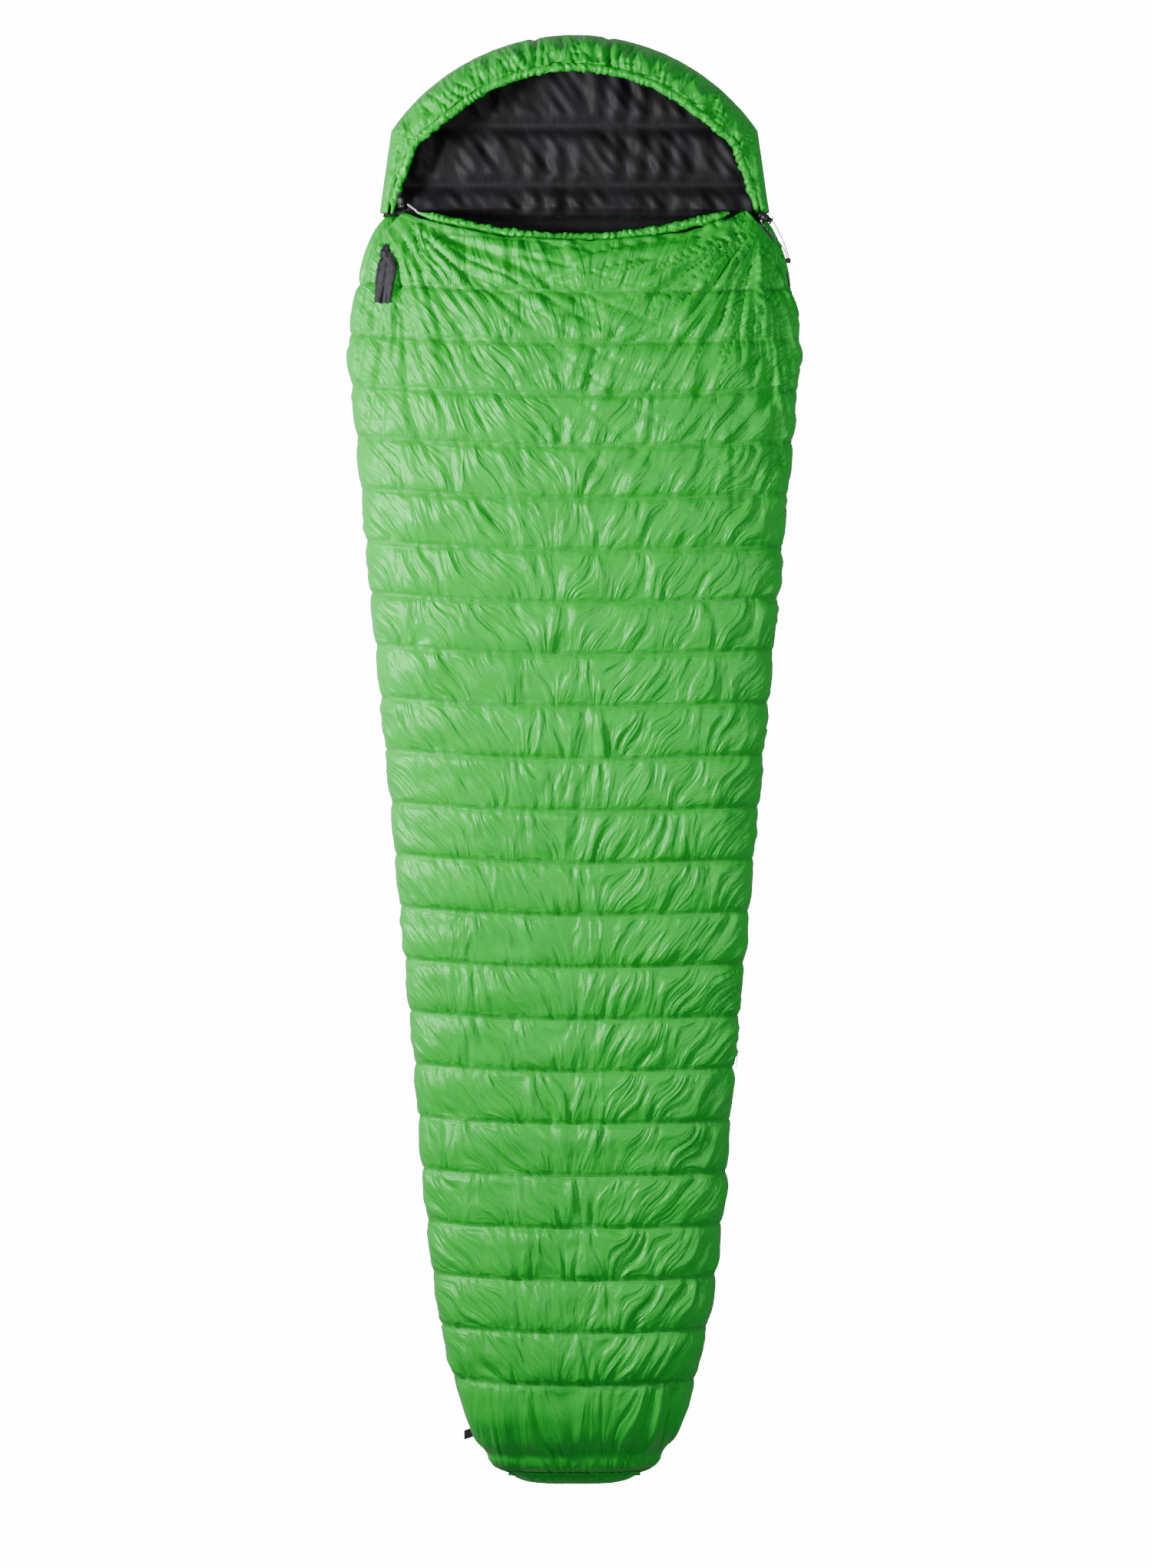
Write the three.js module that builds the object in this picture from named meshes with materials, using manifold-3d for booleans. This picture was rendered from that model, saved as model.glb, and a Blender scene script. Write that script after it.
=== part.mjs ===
// Mummy sleeping bag: two quilts of shell, down and liner, a hood, a foot end, a two-way side zip with its sliders,
// drawcords with spring cord locks, and the front corner that folds back when the zip is run down.
// Millimetres, +Z up. The bag lies on its back, head towards +Y, zip on the +X side, origin on the floor at its centre.
import * as THREE from "three";
import { mergeVertices } from "three/addons/utils/BufferGeometryUtils.js";
import Module from "manifold-3d";

const wasm = await Module();
wasm.setup();

// ---------------------------------------------------------------- driving dimensions
const HALF_LENGTH = 1050;
const SEAM_Z = 68; // height of the side seam, where front and back quilt meet
const TOUCH = 0.3; // gap left between pieces that touch
const WALL = 46; // loft of one quilt
const SIDE_WALL = 30; // thickness of a quilt where it turns down to the side seam
const SKIN = [0, 0.05]; // shares of a quilt's depth: shell, down, liner
const DOWN = [0.07, 0.93];
const LINER = [0.95, 1];

// Arc of the side outline, down to where it runs straight.
const SHOULDER = { x: 18, y: 594, r: 310, end: 565 };
const TAPER = 0.0936; // how much the half width shrinks per mm along the straight side
const ZIP_END_Y = -434;
const FOOT_CAP_Y = -1003;
const NECK_Y = 790;
const NECK_FLARE = 22; // how much wider the back quilt is than the front at the neck
const COLLAR_DIP = 45; // how far the collar edge sags towards the foot in its middle
const ZIP_HALF = 16; // half the height of the band that the zip takes between the quilts

const FOOT_OUTLINE = [[ZIP_END_Y, 233], [-600, 221], [-767, 203], [-900, 175], [-975, 148], [FOOT_CAP_Y, 126]];
const LOFT = [[NECK_Y, 118], [700, 145], [600, 160], [400, 168], [0, 160], [-400, 152], [-700, 160], [-850, 168],
  [-950, 158], [FOOT_CAP_Y, 128]];
const STATIONS = [
  NECK_Y, 740, 690, 640, 565, 460, 320, 140, -60, -250, ZIP_END_Y, -470, -620, -767, -890, -955, FOOT_CAP_Y,
];
// shares of the half width, zip side first
const ACROSS = [1, 0.985, 0.93, 0.8, 0.55, 0.28, 0, -0.28, -0.55, -0.8, -0.93, -0.985, -1];
const FLAT_SHARE = 0.6; // the bag rests on the floor up to this share of its half width
const FRONT_ROUND = 3;
const BACK_ROUND = 2.2;

const HOOD = { side: 282, sideTop: 265, arcY: 727, arcR: 323, startY: 795, floor: 46 };
// Height and width of the hood's rolled wall.
const LIP = { neckZ: 80, crownZ: 130, neckBand: 12, crownBand: 45 };
const CHANNEL_R = 6.5; // drawcord tunnels at the hood's edge and along the collar
const CHANNEL_BORE = 2.6;
const CORD_R = 1.5;

// Crease of the front corner, seen from above.
const FOLD = { from: [326, 566], to: [-60, 760], kerf: 0.8 };
const SLIDER = { length: 12, height: 11, clear: 0.7 };

// ---------------------------------------------------------------- materials
const finish = (color, roughness, metalness = 0) =>
  new THREE.MeshStandardMaterial({ color, roughness, metalness });
const GREEN = finish(0x55bb52, 0.42);
const BLACK_LINING = finish(0x28262c, 0.6);
const DOWN_WHITE = finish(0xf1efe8, 0.95);
const ZIP_BLACK = finish(0x101012, 0.75);
const COIL_BLACK = finish(0x18181a, 0.4);
const METAL = finish(0x6d6f73, 0.35, 0.9);
const STEEL = finish(0xb9bcc0, 0.25, 1);
const PLASTIC = finish(0x121214, 0.45);
const CORD_WHITE = finish(0xe9e9e6, 0.8);
const CORD_FLECK = finish(0x8a8c8f, 0.8);
const PATCH_GREY = finish(0x3a3b40, 0.7);

const part = new THREE.Group();

function add(name, geometry, material, parent = part) {
  const mesh = new THREE.Mesh(geometry, material);
  mesh.name = name;
  parent.add(mesh);
  return mesh;
}

// ---------------------------------------------------------------- mesh helpers
/** Closed geometry of points and triangles, turned to face outwards. */
function closedBody(points, triangles) {
  const a = new THREE.Vector3();
  let volume = 0;
  for (let i = 0; i < triangles.length; i += 3) {
    const [p, q, r] = [points[triangles[i]], points[triangles[i + 1]], points[triangles[i + 2]]];
    volume += p.dot(a.crossVectors(q, r));
  }
  if (volume < 0) triangles.reverse();
  return new THREE.BufferGeometry().setFromPoints(points).setIndex(triangles);
}

/** Two triangles for the quad a, b, c, d. */
const quad = (a, b, c, d) => [a, b, c, a, c, d];

/** Closed body between two open grids of points of the same size. */
function slab(outer, inner) {
  const rows = outer.length;
  const cols = outer[0].length;
  const top = (i, j) => i * cols + j;
  const low = (i, j) => rows * cols + i * cols + j;
  const triangles = [];
  for (let i = 0; i + 1 < rows; i++) {
    for (let j = 0; j + 1 < cols; j++) {
      triangles.push(...quad(top(i, j), top(i, j + 1), top(i + 1, j + 1), top(i + 1, j)));
      triangles.push(low(i, j), low(i + 1, j + 1), low(i, j + 1), low(i, j), low(i + 1, j), low(i + 1, j + 1));
    }
    triangles.push(...quad(top(i, 0), top(i + 1, 0), low(i + 1, 0), low(i, 0)));
    triangles.push(...quad(top(i + 1, cols - 1), top(i, cols - 1), low(i, cols - 1), low(i + 1, cols - 1)));
  }
  for (let j = 0; j + 1 < cols; j++) {
    triangles.push(...quad(top(0, j + 1), top(0, j), low(0, j), low(0, j + 1)));
    triangles.push(...quad(top(rows - 1, j), top(rows - 1, j + 1), low(rows - 1, j + 1), low(rows - 1, j)));
  }
  return closedBody([...outer.flat(), ...inner.flat()], triangles);
}

/** Closed body between two domes, each a list of closed loops from the rim to the loop next to its pole. */
function bowl(outerLoops, innerLoops) {
  const count = outerLoops[0].length;
  const points = [...outerLoops.flat(), ...innerLoops.flat()];
  const middle = (loop) => loop.reduce((sum, p) => sum.add(p), new THREE.Vector3()).divideScalar(count);
  points.push(middle(outerLoops.at(-1)), middle(innerLoops.at(-1)));
  const outerPole = points.length - 2;
  const innerPole = points.length - 1;
  const innerStart = outerLoops.length * count;
  const triangles = [];
  for (let j = 0; j < count; j++) {
    const k = (j + 1) % count;
    for (let i = 0; i + 1 < outerLoops.length; i++) {
      triangles.push(...quad(i * count + j, i * count + k, (i + 1) * count + k, (i + 1) * count + j));
      const [a, b] = [innerStart + i * count, innerStart + (i + 1) * count];
      triangles.push(a + j, b + k, a + k, a + j, b + j, b + k);
    }
    const last = (outerLoops.length - 1) * count;
    triangles.push(last + j, last + k, outerPole);
    triangles.push(innerStart + last + k, innerStart + last + j, innerPole);
    triangles.push(...quad(k, j, innerStart + j, innerStart + k));
  }
  return closedBody(points, triangles);
}

/** Round tube of 8 sides along a path, with an optional bore. */
function tube(path, radius, steps, bore = 0, sides = 8) {
  const ring = (r, Kind) => {
    const corners = Array.from({ length: sides }, (_, i) => {
      const angle = ((i + 0.5) / sides) * 2 * Math.PI;
      return new THREE.Vector2(r * Math.cos(angle), r * Math.sin(angle));
    });
    return new Kind(corners);
  };
  const section = ring(radius, THREE.Shape);
  if (bore) section.holes.push(ring(bore, THREE.Path));
  return new THREE.ExtrudeGeometry(section, { steps, extrudePath: path, bevelEnabled: false });
}

/** The geometry as a solid that can be cut. */
function solidOf(geometry) {
  const bare = geometry.clone();
  bare.deleteAttribute("normal");
  bare.deleteAttribute("uv");
  const merged = mergeVertices(bare, 1e-3);
  return new wasm.Manifold(new wasm.Mesh({
    numProp: 3,
    vertProperties: merged.attributes.position.array,
    triVerts: new Uint32Array(merged.index.array),
  }));
}

/** A cut solid as geometry again. */
function geometryOf(solid) {
  const mesh = solid.getMesh();
  const position = new THREE.BufferAttribute(new Float32Array(mesh.vertProperties), mesh.numProp);
  return new THREE.BufferGeometry().setAttribute("position", position).setIndex([...mesh.triVerts]);
}

// The crease's upright plane: foldNormal points to the corner that folds, foldOffset is its distance from the origin.
const creaseLength = Math.hypot(FOLD.to[0] - FOLD.from[0], FOLD.to[1] - FOLD.from[1]);
const foldNormal = [(FOLD.to[1] - FOLD.from[1]) / creaseLength, (FOLD.from[0] - FOLD.to[0]) / creaseLength, 0];
const foldOffset = foldNormal[0] * FOLD.from[0] + foldNormal[1] * FOLD.from[1];

/** The share of a body on the folding corner's side of the crease, or on the other side. */
function halfAt(geometry, folding) {
  const sign = folding ? 1 : -1;
  const normal = foldNormal.map((v) => sign * v);
  return geometryOf(solidOf(geometry).trimByPlane(normal, sign * foldOffset + FOLD.kerf / 2));
}

// ---------------------------------------------------------------- outline and loft
const splineOf = (pairs) => new THREE.SplineCurve(pairs.map(([y, value]) => new THREE.Vector2(y, value)));
const footOutline = splineOf(FOOT_OUTLINE);
const loftCurve = splineOf(LOFT);

/** Height of a falling curve at y, found by halving its parameter. */
function valueAt(curve, y) {
  let [low, high] = [0, 1];
  for (let i = 0; i < 30; i++) {
    const mid = (low + high) / 2;
    if (curve.getPoint(mid).x > y) low = mid;
    else high = mid;
  }
  return curve.getPoint(low).y;
}

const shoulderX = (y) => SHOULDER.x + Math.sqrt(SHOULDER.r ** 2 - (y - SHOULDER.y) ** 2);

/** Half width of the bag at y, which the zip follows. */
function halfWidth(y) {
  if (y >= SHOULDER.end) return shoulderX(y);
  if (y >= ZIP_END_Y) return shoulderX(SHOULDER.end) - TAPER * (SHOULDER.end - y);
  return valueAt(footOutline, y);
}

const smooth = (t) => THREE.MathUtils.smoothstep(t, 0, 1);
const loft = (y) => valueAt(loftCurve, y);
const zipLift = (y) => ZIP_HALF * smooth((y - (ZIP_END_Y - 36)) / 36);
const dip = (y) => COLLAR_DIP * smooth((y - 600) / (NECK_Y - 600));
const flare = (y) => NECK_FLARE * Math.max(0, (y - 640) / (NECK_Y - 640)) ** 1.6;

/** Point of the front quilt at a station, a share across and a share of its depth. */
function frontPoint(y, c, depth) {
  const side = halfWidth(y);
  const seam = SEAM_Z + TOUCH / 2 + (zipLift(y) * (1 + c)) / 2;
  const rise = (1 - Math.abs(c) ** FRONT_ROUND) ** (1 / FRONT_ROUND);
  const x = (side - SIDE_WALL * depth) * c;
  return new THREE.Vector3(x, y - dip(y) * (1 - c * c), seam + (loft(y) - seam - WALL * depth) * rise);
}

/** Point of the back quilt, which is flat where it rests on the floor. */
function backPoint(y, c, depth) {
  const side = halfWidth(y) + flare(y);
  const seam = SEAM_Z - TOUCH / 2 - (zipLift(y) * (1 + c)) / 2;
  const turn = Math.max(0, (Math.abs(c) - FLAT_SHARE) / (1 - FLAT_SHARE));
  const drop = (1 - turn ** BACK_ROUND) ** (1 / BACK_ROUND);
  return new THREE.Vector3((side - SIDE_WALL * depth) * c, y, seam - (seam - WALL * depth) * drop);
}

/** One layer of a quilt between two shares of its depth. */
function quiltLayer(pointAt, [from, to], stations = STATIONS) {
  const grid = (depth) => stations.map((y) => ACROSS.map((c) => pointAt(y, c, depth)));
  return slab(grid(from), grid(to));
}

const LAYERS = [["shell", SKIN, GREEN], ["down", DOWN, DOWN_WHITE], ["liner", LINER, BLACK_LINING]];

// ---------------------------------------------------------------- body quilts and foot end
for (const [layer, depth, material] of LAYERS) {
  add(`back_${layer}`, quiltLayer(backPoint, depth), material);
  const front = quiltLayer(frontPoint, depth);
  add(`front_${layer}`, halfAt(front, false), material);
  add(`flap_${layer}`, halfAt(front, true), material);
}

/** One loop round the whole section at the foot, shrunk towards its middle and pushed out towards the toes. */
function footLoop(share, depth) {
  const outline = [
    ...ACROSS.map((c) => frontPoint(FOOT_CAP_Y, c, depth)),
    ...[...ACROSS].reverse().slice(1, -1).map((c) => backPoint(FOOT_CAP_Y, c, depth)),
  ];
  const centre = new THREE.Vector3(0, FOOT_CAP_Y, loft(FOOT_CAP_Y) / 2);
  const bulge = (HALF_LENGTH + FOOT_CAP_Y - 2 * TOUCH) * (1 - 0.93 * depth);
  const push = 2 * TOUCH + bulge * (1 - share ** 2.5) ** 0.4;
  return outline.map((p) => centre.clone().lerp(p, share).setY(FOOT_CAP_Y - push));
}

for (const [layer, [from, to], material] of LAYERS) {
  const loops = (depth) => [1, 0.9, 0.6, 0.02].map((share) => footLoop(share, depth));
  add(`foot_${layer}`, bowl(loops(from), loops(to)), material);
}

// ---------------------------------------------------------------- hood
const hood = new THREE.Group();
part.add(hood);

const crownY = (x) => HOOD.arcY + Math.sqrt(HOOD.arcR ** 2 - x * x);

/** Point of the hood's back panel: across from -1 to 1, along from the neck to the crown. */
function hoodBackPoint(across, along, z) {
  const low = new THREE.Vector3((HOOD.side - 3) * across, NECK_Y + 2 * TOUCH, z);
  const x = (HOOD.sideTop - 3) * across;
  return low.lerp(new THREE.Vector3(x, crownY(x) - 3, z), along);
}

const HOOD_ACROSS = [-1, -0.85, -0.6, -0.3, 0, 0.3, 0.6, 0.85, 1];
for (const [layer, [from, to], material] of LAYERS) {
  const grid = (share) => [0, 1].map(
    (along) => HOOD_ACROSS.map((c) => hoodBackPoint(c, along, share * HOOD.floor)),
  );
  add(`hood_back_${layer}`, slab(grid(from), grid(to)), material, hood);
}

const crownStart = Math.acos(HOOD.sideTop / HOOD.arcR);
const hoodOutline = new THREE.Path();
hoodOutline.moveTo(HOOD.side, HOOD.startY);
hoodOutline.lineTo(HOOD.sideTop, crownY(HOOD.sideTop));
hoodOutline.absarc(0, HOOD.arcY, HOOD.arcR, crownStart, Math.PI - crownStart, false);
hoodOutline.lineTo(-HOOD.side, HOOD.startY);
const HOOD_STEPS = 18;
const hoodStations = Array.from({ length: HOOD_STEPS + 1 }, (_, i) => {
  const t = i / HOOD_STEPS;
  const at = hoodOutline.getPointAt(t);
  const tangent = hoodOutline.getTangentAt(t);
  const rise = smooth((at.y - HOOD.startY) / (HALF_LENGTH - HOOD.startY) / 0.75);
  return {
    at,
    inward: new THREE.Vector2(-tangent.y, tangent.x),
    band: THREE.MathUtils.lerp(LIP.neckBand, LIP.crownBand, rise),
    lip: THREE.MathUtils.lerp(LIP.neckZ, LIP.crownZ, rise),
  };
});

/** A point at a station of the hood's edge: a distance inwards from the outline, and a height. */
function hoodEdgePoint({ at, inward }, distance, z) {
  return new THREE.Vector3(at.x + inward.x * distance, at.y + inward.y * distance, z);
}

// The wall's section from its foot to the lip, as shares of the band's width and of the lip's height above the back
// panel: outside skin, then lining.
const WALL_OUTSIDE = [[0.08, 0], [0, 0.4], [0.1, 0.75], [0.45, 1], [1, 0.92]];
const WALL_INSIDE = [[0.8, 0], [0.78, 0.3], [0.8, 0.5], [0.86, 0.68], [0.98, 0.78]];
for (const [layer, [from, to], material] of LAYERS) {
  const grid = (depth) => hoodStations.map((station) => WALL_OUTSIDE.map(([u, h], i) => {
    const [inU, inH] = WALL_INSIDE[i];
    const foot = HOOD.floor + 2 * TOUCH;
    const rise = (share) => foot + share * (station.lip - foot);
    const across = THREE.MathUtils.lerp(u, inU, depth) * station.band;
    return hoodEdgePoint(station, across, THREE.MathUtils.lerp(rise(h), rise(inH), depth));
  }));
  add(`hood_crown_${layer}`, slab(grid(from), grid(to)), material, hood);
}

const channelPath = new THREE.CatmullRomCurve3(
  hoodStations.map((s) => hoodEdgePoint(s, s.band + CHANNEL_R + 1.4, s.lip * 0.93)),
);
const CHANNEL_STEPS = 24;
add("hood_edge_channel", tube(channelPath, CHANNEL_R, CHANNEL_STEPS, CHANNEL_BORE), GREEN, hood);
add("hood_drawcord", tube(channelPath, CORD_R, CHANNEL_STEPS), CORD_FLECK, hood);

// ---------------------------------------------------------------- collar
const COLLAR_SHARES = [
  0.9, 0.8, 0.67, 0.55, 0.42, 0.28, 0.14, 0, -0.14, -0.28, -0.42, -0.55, -0.67, -0.8, -0.9,
];
const collarPath = new THREE.CatmullRomCurve3(COLLAR_SHARES.map((c) => {
  const edge = frontPoint(NECK_Y, c, 0.3);
  return edge.setY(edge.y + CHANNEL_R + 3.5);
}));
const COLLAR_STEPS = 18;
const collarChannel = tube(collarPath, CHANNEL_R, COLLAR_STEPS, CHANNEL_BORE);
// The collar's drawcord from its channel's left end to its lock.
const CORD_TO_LOCK = [[-231, 796.5, 93], [-237.5, 801, 95.5], [-242.2, 804.2, 97]];
const collarCordPath = new THREE.CatmullRomCurve3(
  [...collarPath.points, ...CORD_TO_LOCK.map((p) => new THREE.Vector3(...p))],
);
const collarCord = tube(collarCordPath, CORD_R, COLLAR_STEPS + 4);
add("collar_channel", halfAt(collarChannel, false), GREEN);
add("collar_drawcord", halfAt(collarCord, false), CORD_WHITE);
add("flap_collar_channel", halfAt(collarChannel, true), GREEN);
add("flap_collar_drawcord", halfAt(collarCord, true), CORD_WHITE);

// ---------------------------------------------------------------- zip
const TAPE = { inset: 2.4, thick: 1, from: 2.6, to: ZIP_HALF - TOUCH };
const COIL = { from: 0.3, to: 2.3, out: 1.6 };
const ZIP_TOP_Y = 786;
const SHOULDER_STEPS = 10;
const shoulderAngle = (y) => Math.asin((y - SHOULDER.y) / SHOULDER.r);

/** Points along the zip's line in plan, from y down to another y: round the shoulder, then straight. */
function zipStations(fromY, toY) {
  const list = [];
  const [first, last] = [shoulderAngle(Math.max(fromY, SHOULDER.end)), shoulderAngle(SHOULDER.end)];
  if (fromY > SHOULDER.end) {
    for (let i = 0; i < SHOULDER_STEPS; i++) {
      const angle = THREE.MathUtils.lerp(first, last, i / SHOULDER_STEPS);
      list.push(SHOULDER.y + SHOULDER.r * Math.sin(angle));
    }
  }
  if (toY < SHOULDER.end) list.push(Math.min(fromY, SHOULDER.end));
  list.push(toY);
  return list;
}

/** A strip along the zip: from and to are heights above the seam (negative below), in and out its distances inboard. */
function zipStrip(stations, from, to, inboard, outboard) {
  const grid = (z) => stations.map((y) => {
    const [x, slope] = [halfWidth(y), (halfWidth(y + 0.5) - halfWidth(y - 0.5))];
    const normal = new THREE.Vector2(1, -slope).normalize();
    return [inboard, outboard].map((d) => new THREE.Vector3(x - normal.x * d, y - normal.y * d, SEAM_Z + z));
  });
  return slab(grid(from), grid(to));
}

const wholeZip = zipStations(ZIP_TOP_Y, ZIP_END_Y + 4);
const tapeIn = TAPE.inset + TAPE.thick;
add("zip_tape_back", zipStrip(wholeZip, -TAPE.to, -TAPE.from, tapeIn, TAPE.inset), ZIP_BLACK);
add("zip_coil_back", zipStrip(wholeZip, -COIL.to, -COIL.from, tapeIn, TAPE.inset - COIL.out), COIL_BLACK);
const frontTape = zipStrip(wholeZip, TAPE.from, TAPE.to, tapeIn, TAPE.inset);
const frontCoil = zipStrip(wholeZip, COIL.from, COIL.to, tapeIn, TAPE.inset - COIL.out);
add("zip_tape_front", halfAt(frontTape, false), ZIP_BLACK);
add("zip_coil_front", halfAt(frontCoil, false), COIL_BLACK);
add("flap_zip_tape", halfAt(frontTape, true), ZIP_BLACK);
add("flap_zip_coil", halfAt(frontCoil, true), COIL_BLACK);

/** A group whose X points out of the zip, Y along it towards the head and Z up, at the zip's line at height y. */
function onZip(y) {
  const group = new THREE.Group();
  const slope = halfWidth(y + 0.5) - halfWidth(y - 0.5);
  group.position.set(halfWidth(y), y, SEAM_Z);
  group.rotation.z = -Math.atan(slope);
  part.add(group);
  return group;
}

/** A box between two corners. */
function block(low, high) {
  const size = high.map((v, i) => v - low[i]);
  const geometry = new THREE.BoxGeometry(...size);
  geometry.translate(...high.map((v, i) => (v + low[i]) / 2));
  return geometry;
}

const endStop = onZip(ZIP_END_Y);
add("zip_bottom_stop", block([-5, -3, -4], [0.5, 3.4, 4]), METAL, endStop);
const topEnd = onZip(ZIP_TOP_Y + 2);
add("zip_top_stop", block([-3.4, -0.9, -2.6], [-0.6, 1.2, -COIL.from]), METAL, topEnd);
add("flap_zip_top_stop", block([-3.4, -0.9, COIL.from], [-0.6, 1.2, 2.6]), METAL, topEnd);

/** A slider that wraps the coil from outside, with two ears, and a puller that turns on its pin between them. */
function zipSlider(name, y) {
  const seat = onZip(y);
  const half = SLIDER.length / 2;
  const face = -(TAPE.inset - COIL.out) + SLIDER.clear;
  const plate = new THREE.Shape();
  plate.moveTo(-half, -SLIDER.height / 2);
  plate.lineTo(half - 3, -SLIDER.height / 2);
  plate.lineTo(half, -2.2);
  plate.lineTo(half, 2.2);
  plate.lineTo(half - 3, SLIDER.height / 2);
  plate.lineTo(-half, SLIDER.height / 2);
  const body = new THREE.ExtrudeGeometry(plate, { depth: 1.2, bevelEnabled: false });
  body.rotateX(Math.PI / 2);
  body.rotateZ(Math.PI / 2);
  body.translate(face, 0, 0);
  const ears = [-1, 1].map((side) => block(
    [face + 1, -half + 2, side > 0 ? 2.4 : -3.6],
    [face + 4.2, -half + 5.5, side > 0 ? 3.6 : -2.4],
  ));
  const flanges = [-1, 1].map((side) => block(
    [-TAPE.inset + SLIDER.clear, -half, side > 0 ? 4 : -5.4],
    [face + 0.2, half - 3, side > 0 ? 5.4 : -4],
  ));
  const solid = [...ears, ...flanges].reduce((sum, piece) => sum.add(solidOf(piece)), solidOf(body));
  add(`${name}_slider`, geometryOf(solid), METAL, seat);
  const tab = new THREE.Shape();
  tab.moveTo(-1.9, 1.2);
  tab.lineTo(1.9, 1.2);
  tab.lineTo(1.9, -3.2);
  tab.lineTo(3.4, -8);
  tab.lineTo(3.4, -20);
  tab.absarc(0, -20, 3.4, 0, -Math.PI, true);
  tab.lineTo(-3.4, -8);
  tab.lineTo(-1.9, -3.2);
  const hole = new THREE.Path();
  hole.absarc(0, -18, 1.6, 0, 2 * Math.PI, false);
  tab.holes.push(hole);
  const puller = new THREE.ExtrudeGeometry(tab, { depth: 1.3, bevelEnabled: false, curveSegments: 6 });
  puller.rotateY(Math.PI / 2);
  puller.translate(face + 2.1, -half + 3.2, 0);
  add(`${name}_puller`, puller, METAL, seat);
}

const TOP_SLIDER_Y = 776;
const BOTTOM_SLIDER_Y = ZIP_END_Y + 14;
zipSlider("top", TOP_SLIDER_Y);
zipSlider("bottom", BOTTOM_SLIDER_Y);

// The draft tube: a down-filled roll inside the bag, behind the zip, sewn to the back quilt.
const DRAFT = { inset: 45, radius: 10, z: SEAM_Z + 3 };
const draftPath = new THREE.CatmullRomCurve3(zipStations(740, ZIP_END_Y).map(
  (y) => new THREE.Vector3(halfWidth(y) - DRAFT.inset, y, DRAFT.z),
));
add("draft_tube", tube(draftPath, DRAFT.radius, 14), BLACK_LINING);

// ---------------------------------------------------------------- cord locks, loop and cord end
const LOCK = { radius: 5.5, length: 15, bore: 3.9, depth: 11, travel: 3.5 };

/** A spring cord lock along its group's Z axis: barrel, plunger and spring. */
function cordLock(name, seat) {
  const barrel = new THREE.LatheGeometry([
    [0, 0], [LOCK.radius, 0], [LOCK.radius, LOCK.length], [LOCK.bore, LOCK.length],
    [LOCK.bore, LOCK.length - LOCK.depth], [0, LOCK.length - LOCK.depth],
  ].map(([r, z]) => new THREE.Vector2(r, z)), 12);
  const plunger = new THREE.LatheGeometry([
    [0, -6.5], [LOCK.bore - 0.3, -6.5], [LOCK.bore - 0.3, LOCK.travel + 0.5], [LOCK.radius, LOCK.travel + 0.5],
    [LOCK.radius - 0.6, LOCK.travel + 3], [0, LOCK.travel + 3.4],
  ].map(([r, z]) => new THREE.Vector2(r, z)), 12);
  for (const body of [barrel, plunger]) body.rotateX(Math.PI / 2);
  plunger.translate(0, 0, LOCK.length);
  add(`${name}_barrel`, barrel, PLASTIC, seat);
  add(`${name}_plunger`, plunger, PLASTIC, seat);
  const turns = 2;
  const low = LOCK.length - LOCK.depth + 0.7;
  const high = LOCK.length - 6.5 - 0.7;
  const coil = new THREE.CatmullRomCurve3(Array.from({ length: turns * 8 + 1 }, (_, i) => {
    const angle = (i / 8) * 2 * Math.PI;
    const climb = low + ((high - low) * i) / (turns * 8);
    return new THREE.Vector3(2.4 * Math.cos(angle), 2.4 * Math.sin(angle), climb);
  }));
  add(`${name}_spring`, tube(coil, 0.3, turns * 8, 0, 4), STEEL, seat);
}

/** A seat whose Z points along a level direction, turned from +X by an angle. */
function lockSeat([x, y, z], turn) {
  const plan = new THREE.Group();
  plan.position.set(x, y, z);
  plan.rotation.z = turn;
  const seat = new THREE.Group();
  seat.rotation.y = Math.PI / 2;
  plan.add(seat);
  part.add(plan);
  return seat;
}

const HOOD_LOCK = [267, 790, 97];
cordLock("hood_lock", lockSeat(HOOD_LOCK, -Math.PI / 6));
const hoodTab = block([275, 781, SEAM_Z - ZIP_HALF + TOUCH], [276.2, 791, HOOD_LOCK[2] - 7.5]);
add("hood_lock_tab", hoodTab, ZIP_BLACK);

const COLLAR_LOCK = [-249, 799, 97];
cordLock("collar_lock", lockSeat(COLLAR_LOCK, 1.75));
add("collar_lock_tab", block([-256, 790.6, 78], [-246, 792, 104]), ZIP_BLACK);

// The free loop of the hood's drawcord: two strands from the lock down over the shoulder to a cord end on the floor.
const LOOP_R = 1;
const strand = (points) => new THREE.CatmullRomCurve3(points.map((p) => new THREE.Vector3(...p)));
const STRAND_A = [[270.3, 780.4, 97], [271.6, 776, 97.4], [276, 770.5, 96.4], [283, 764, 92], [290.5, 757, 83],
  [298, 750, 69], [304.5, 743.5, 51], [308, 738, 31], [310.2, 733.5, 14], [310.8, 731.4, 9.4]];
const STRAND_B = [[279.5, 788.5, 90.6], [283, 785, 88.5], [288, 779, 84], [293.5, 771, 76], [299, 762, 65],
  [304.5, 752.5, 50], [309, 743.5, 33], [312.3, 736, 17], [313.6, 732.4, 9.4]];
const STRAND_STEPS = 26;
add("pull_strand_a", tube(strand(STRAND_A), LOOP_R, STRAND_STEPS), CORD_FLECK);
add("pull_strand_b", tube(strand(STRAND_B), LOOP_R, STRAND_STEPS), CORD_FLECK);
add("cord_end", block([308.2, 726.5, 0.4], [316.2, 734, 8.8]), PLASTIC);

// ---------------------------------------------------------------- patch and label
const PATCH = { top: 738, bottom: 660, left: -0.94, right: -0.83, lift: [-0.02, -0.05] };
const patchGrid = (depth) => [PATCH.top, 700, PATCH.bottom].map(
  (y) => [PATCH.left, -0.885, PATCH.right].map((c) => frontPoint(y, c, depth)),
);
add("shoulder_patch", slab(patchGrid(PATCH.lift[0]), patchGrid(PATCH.lift[1])), PATCH_GREY);

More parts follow.
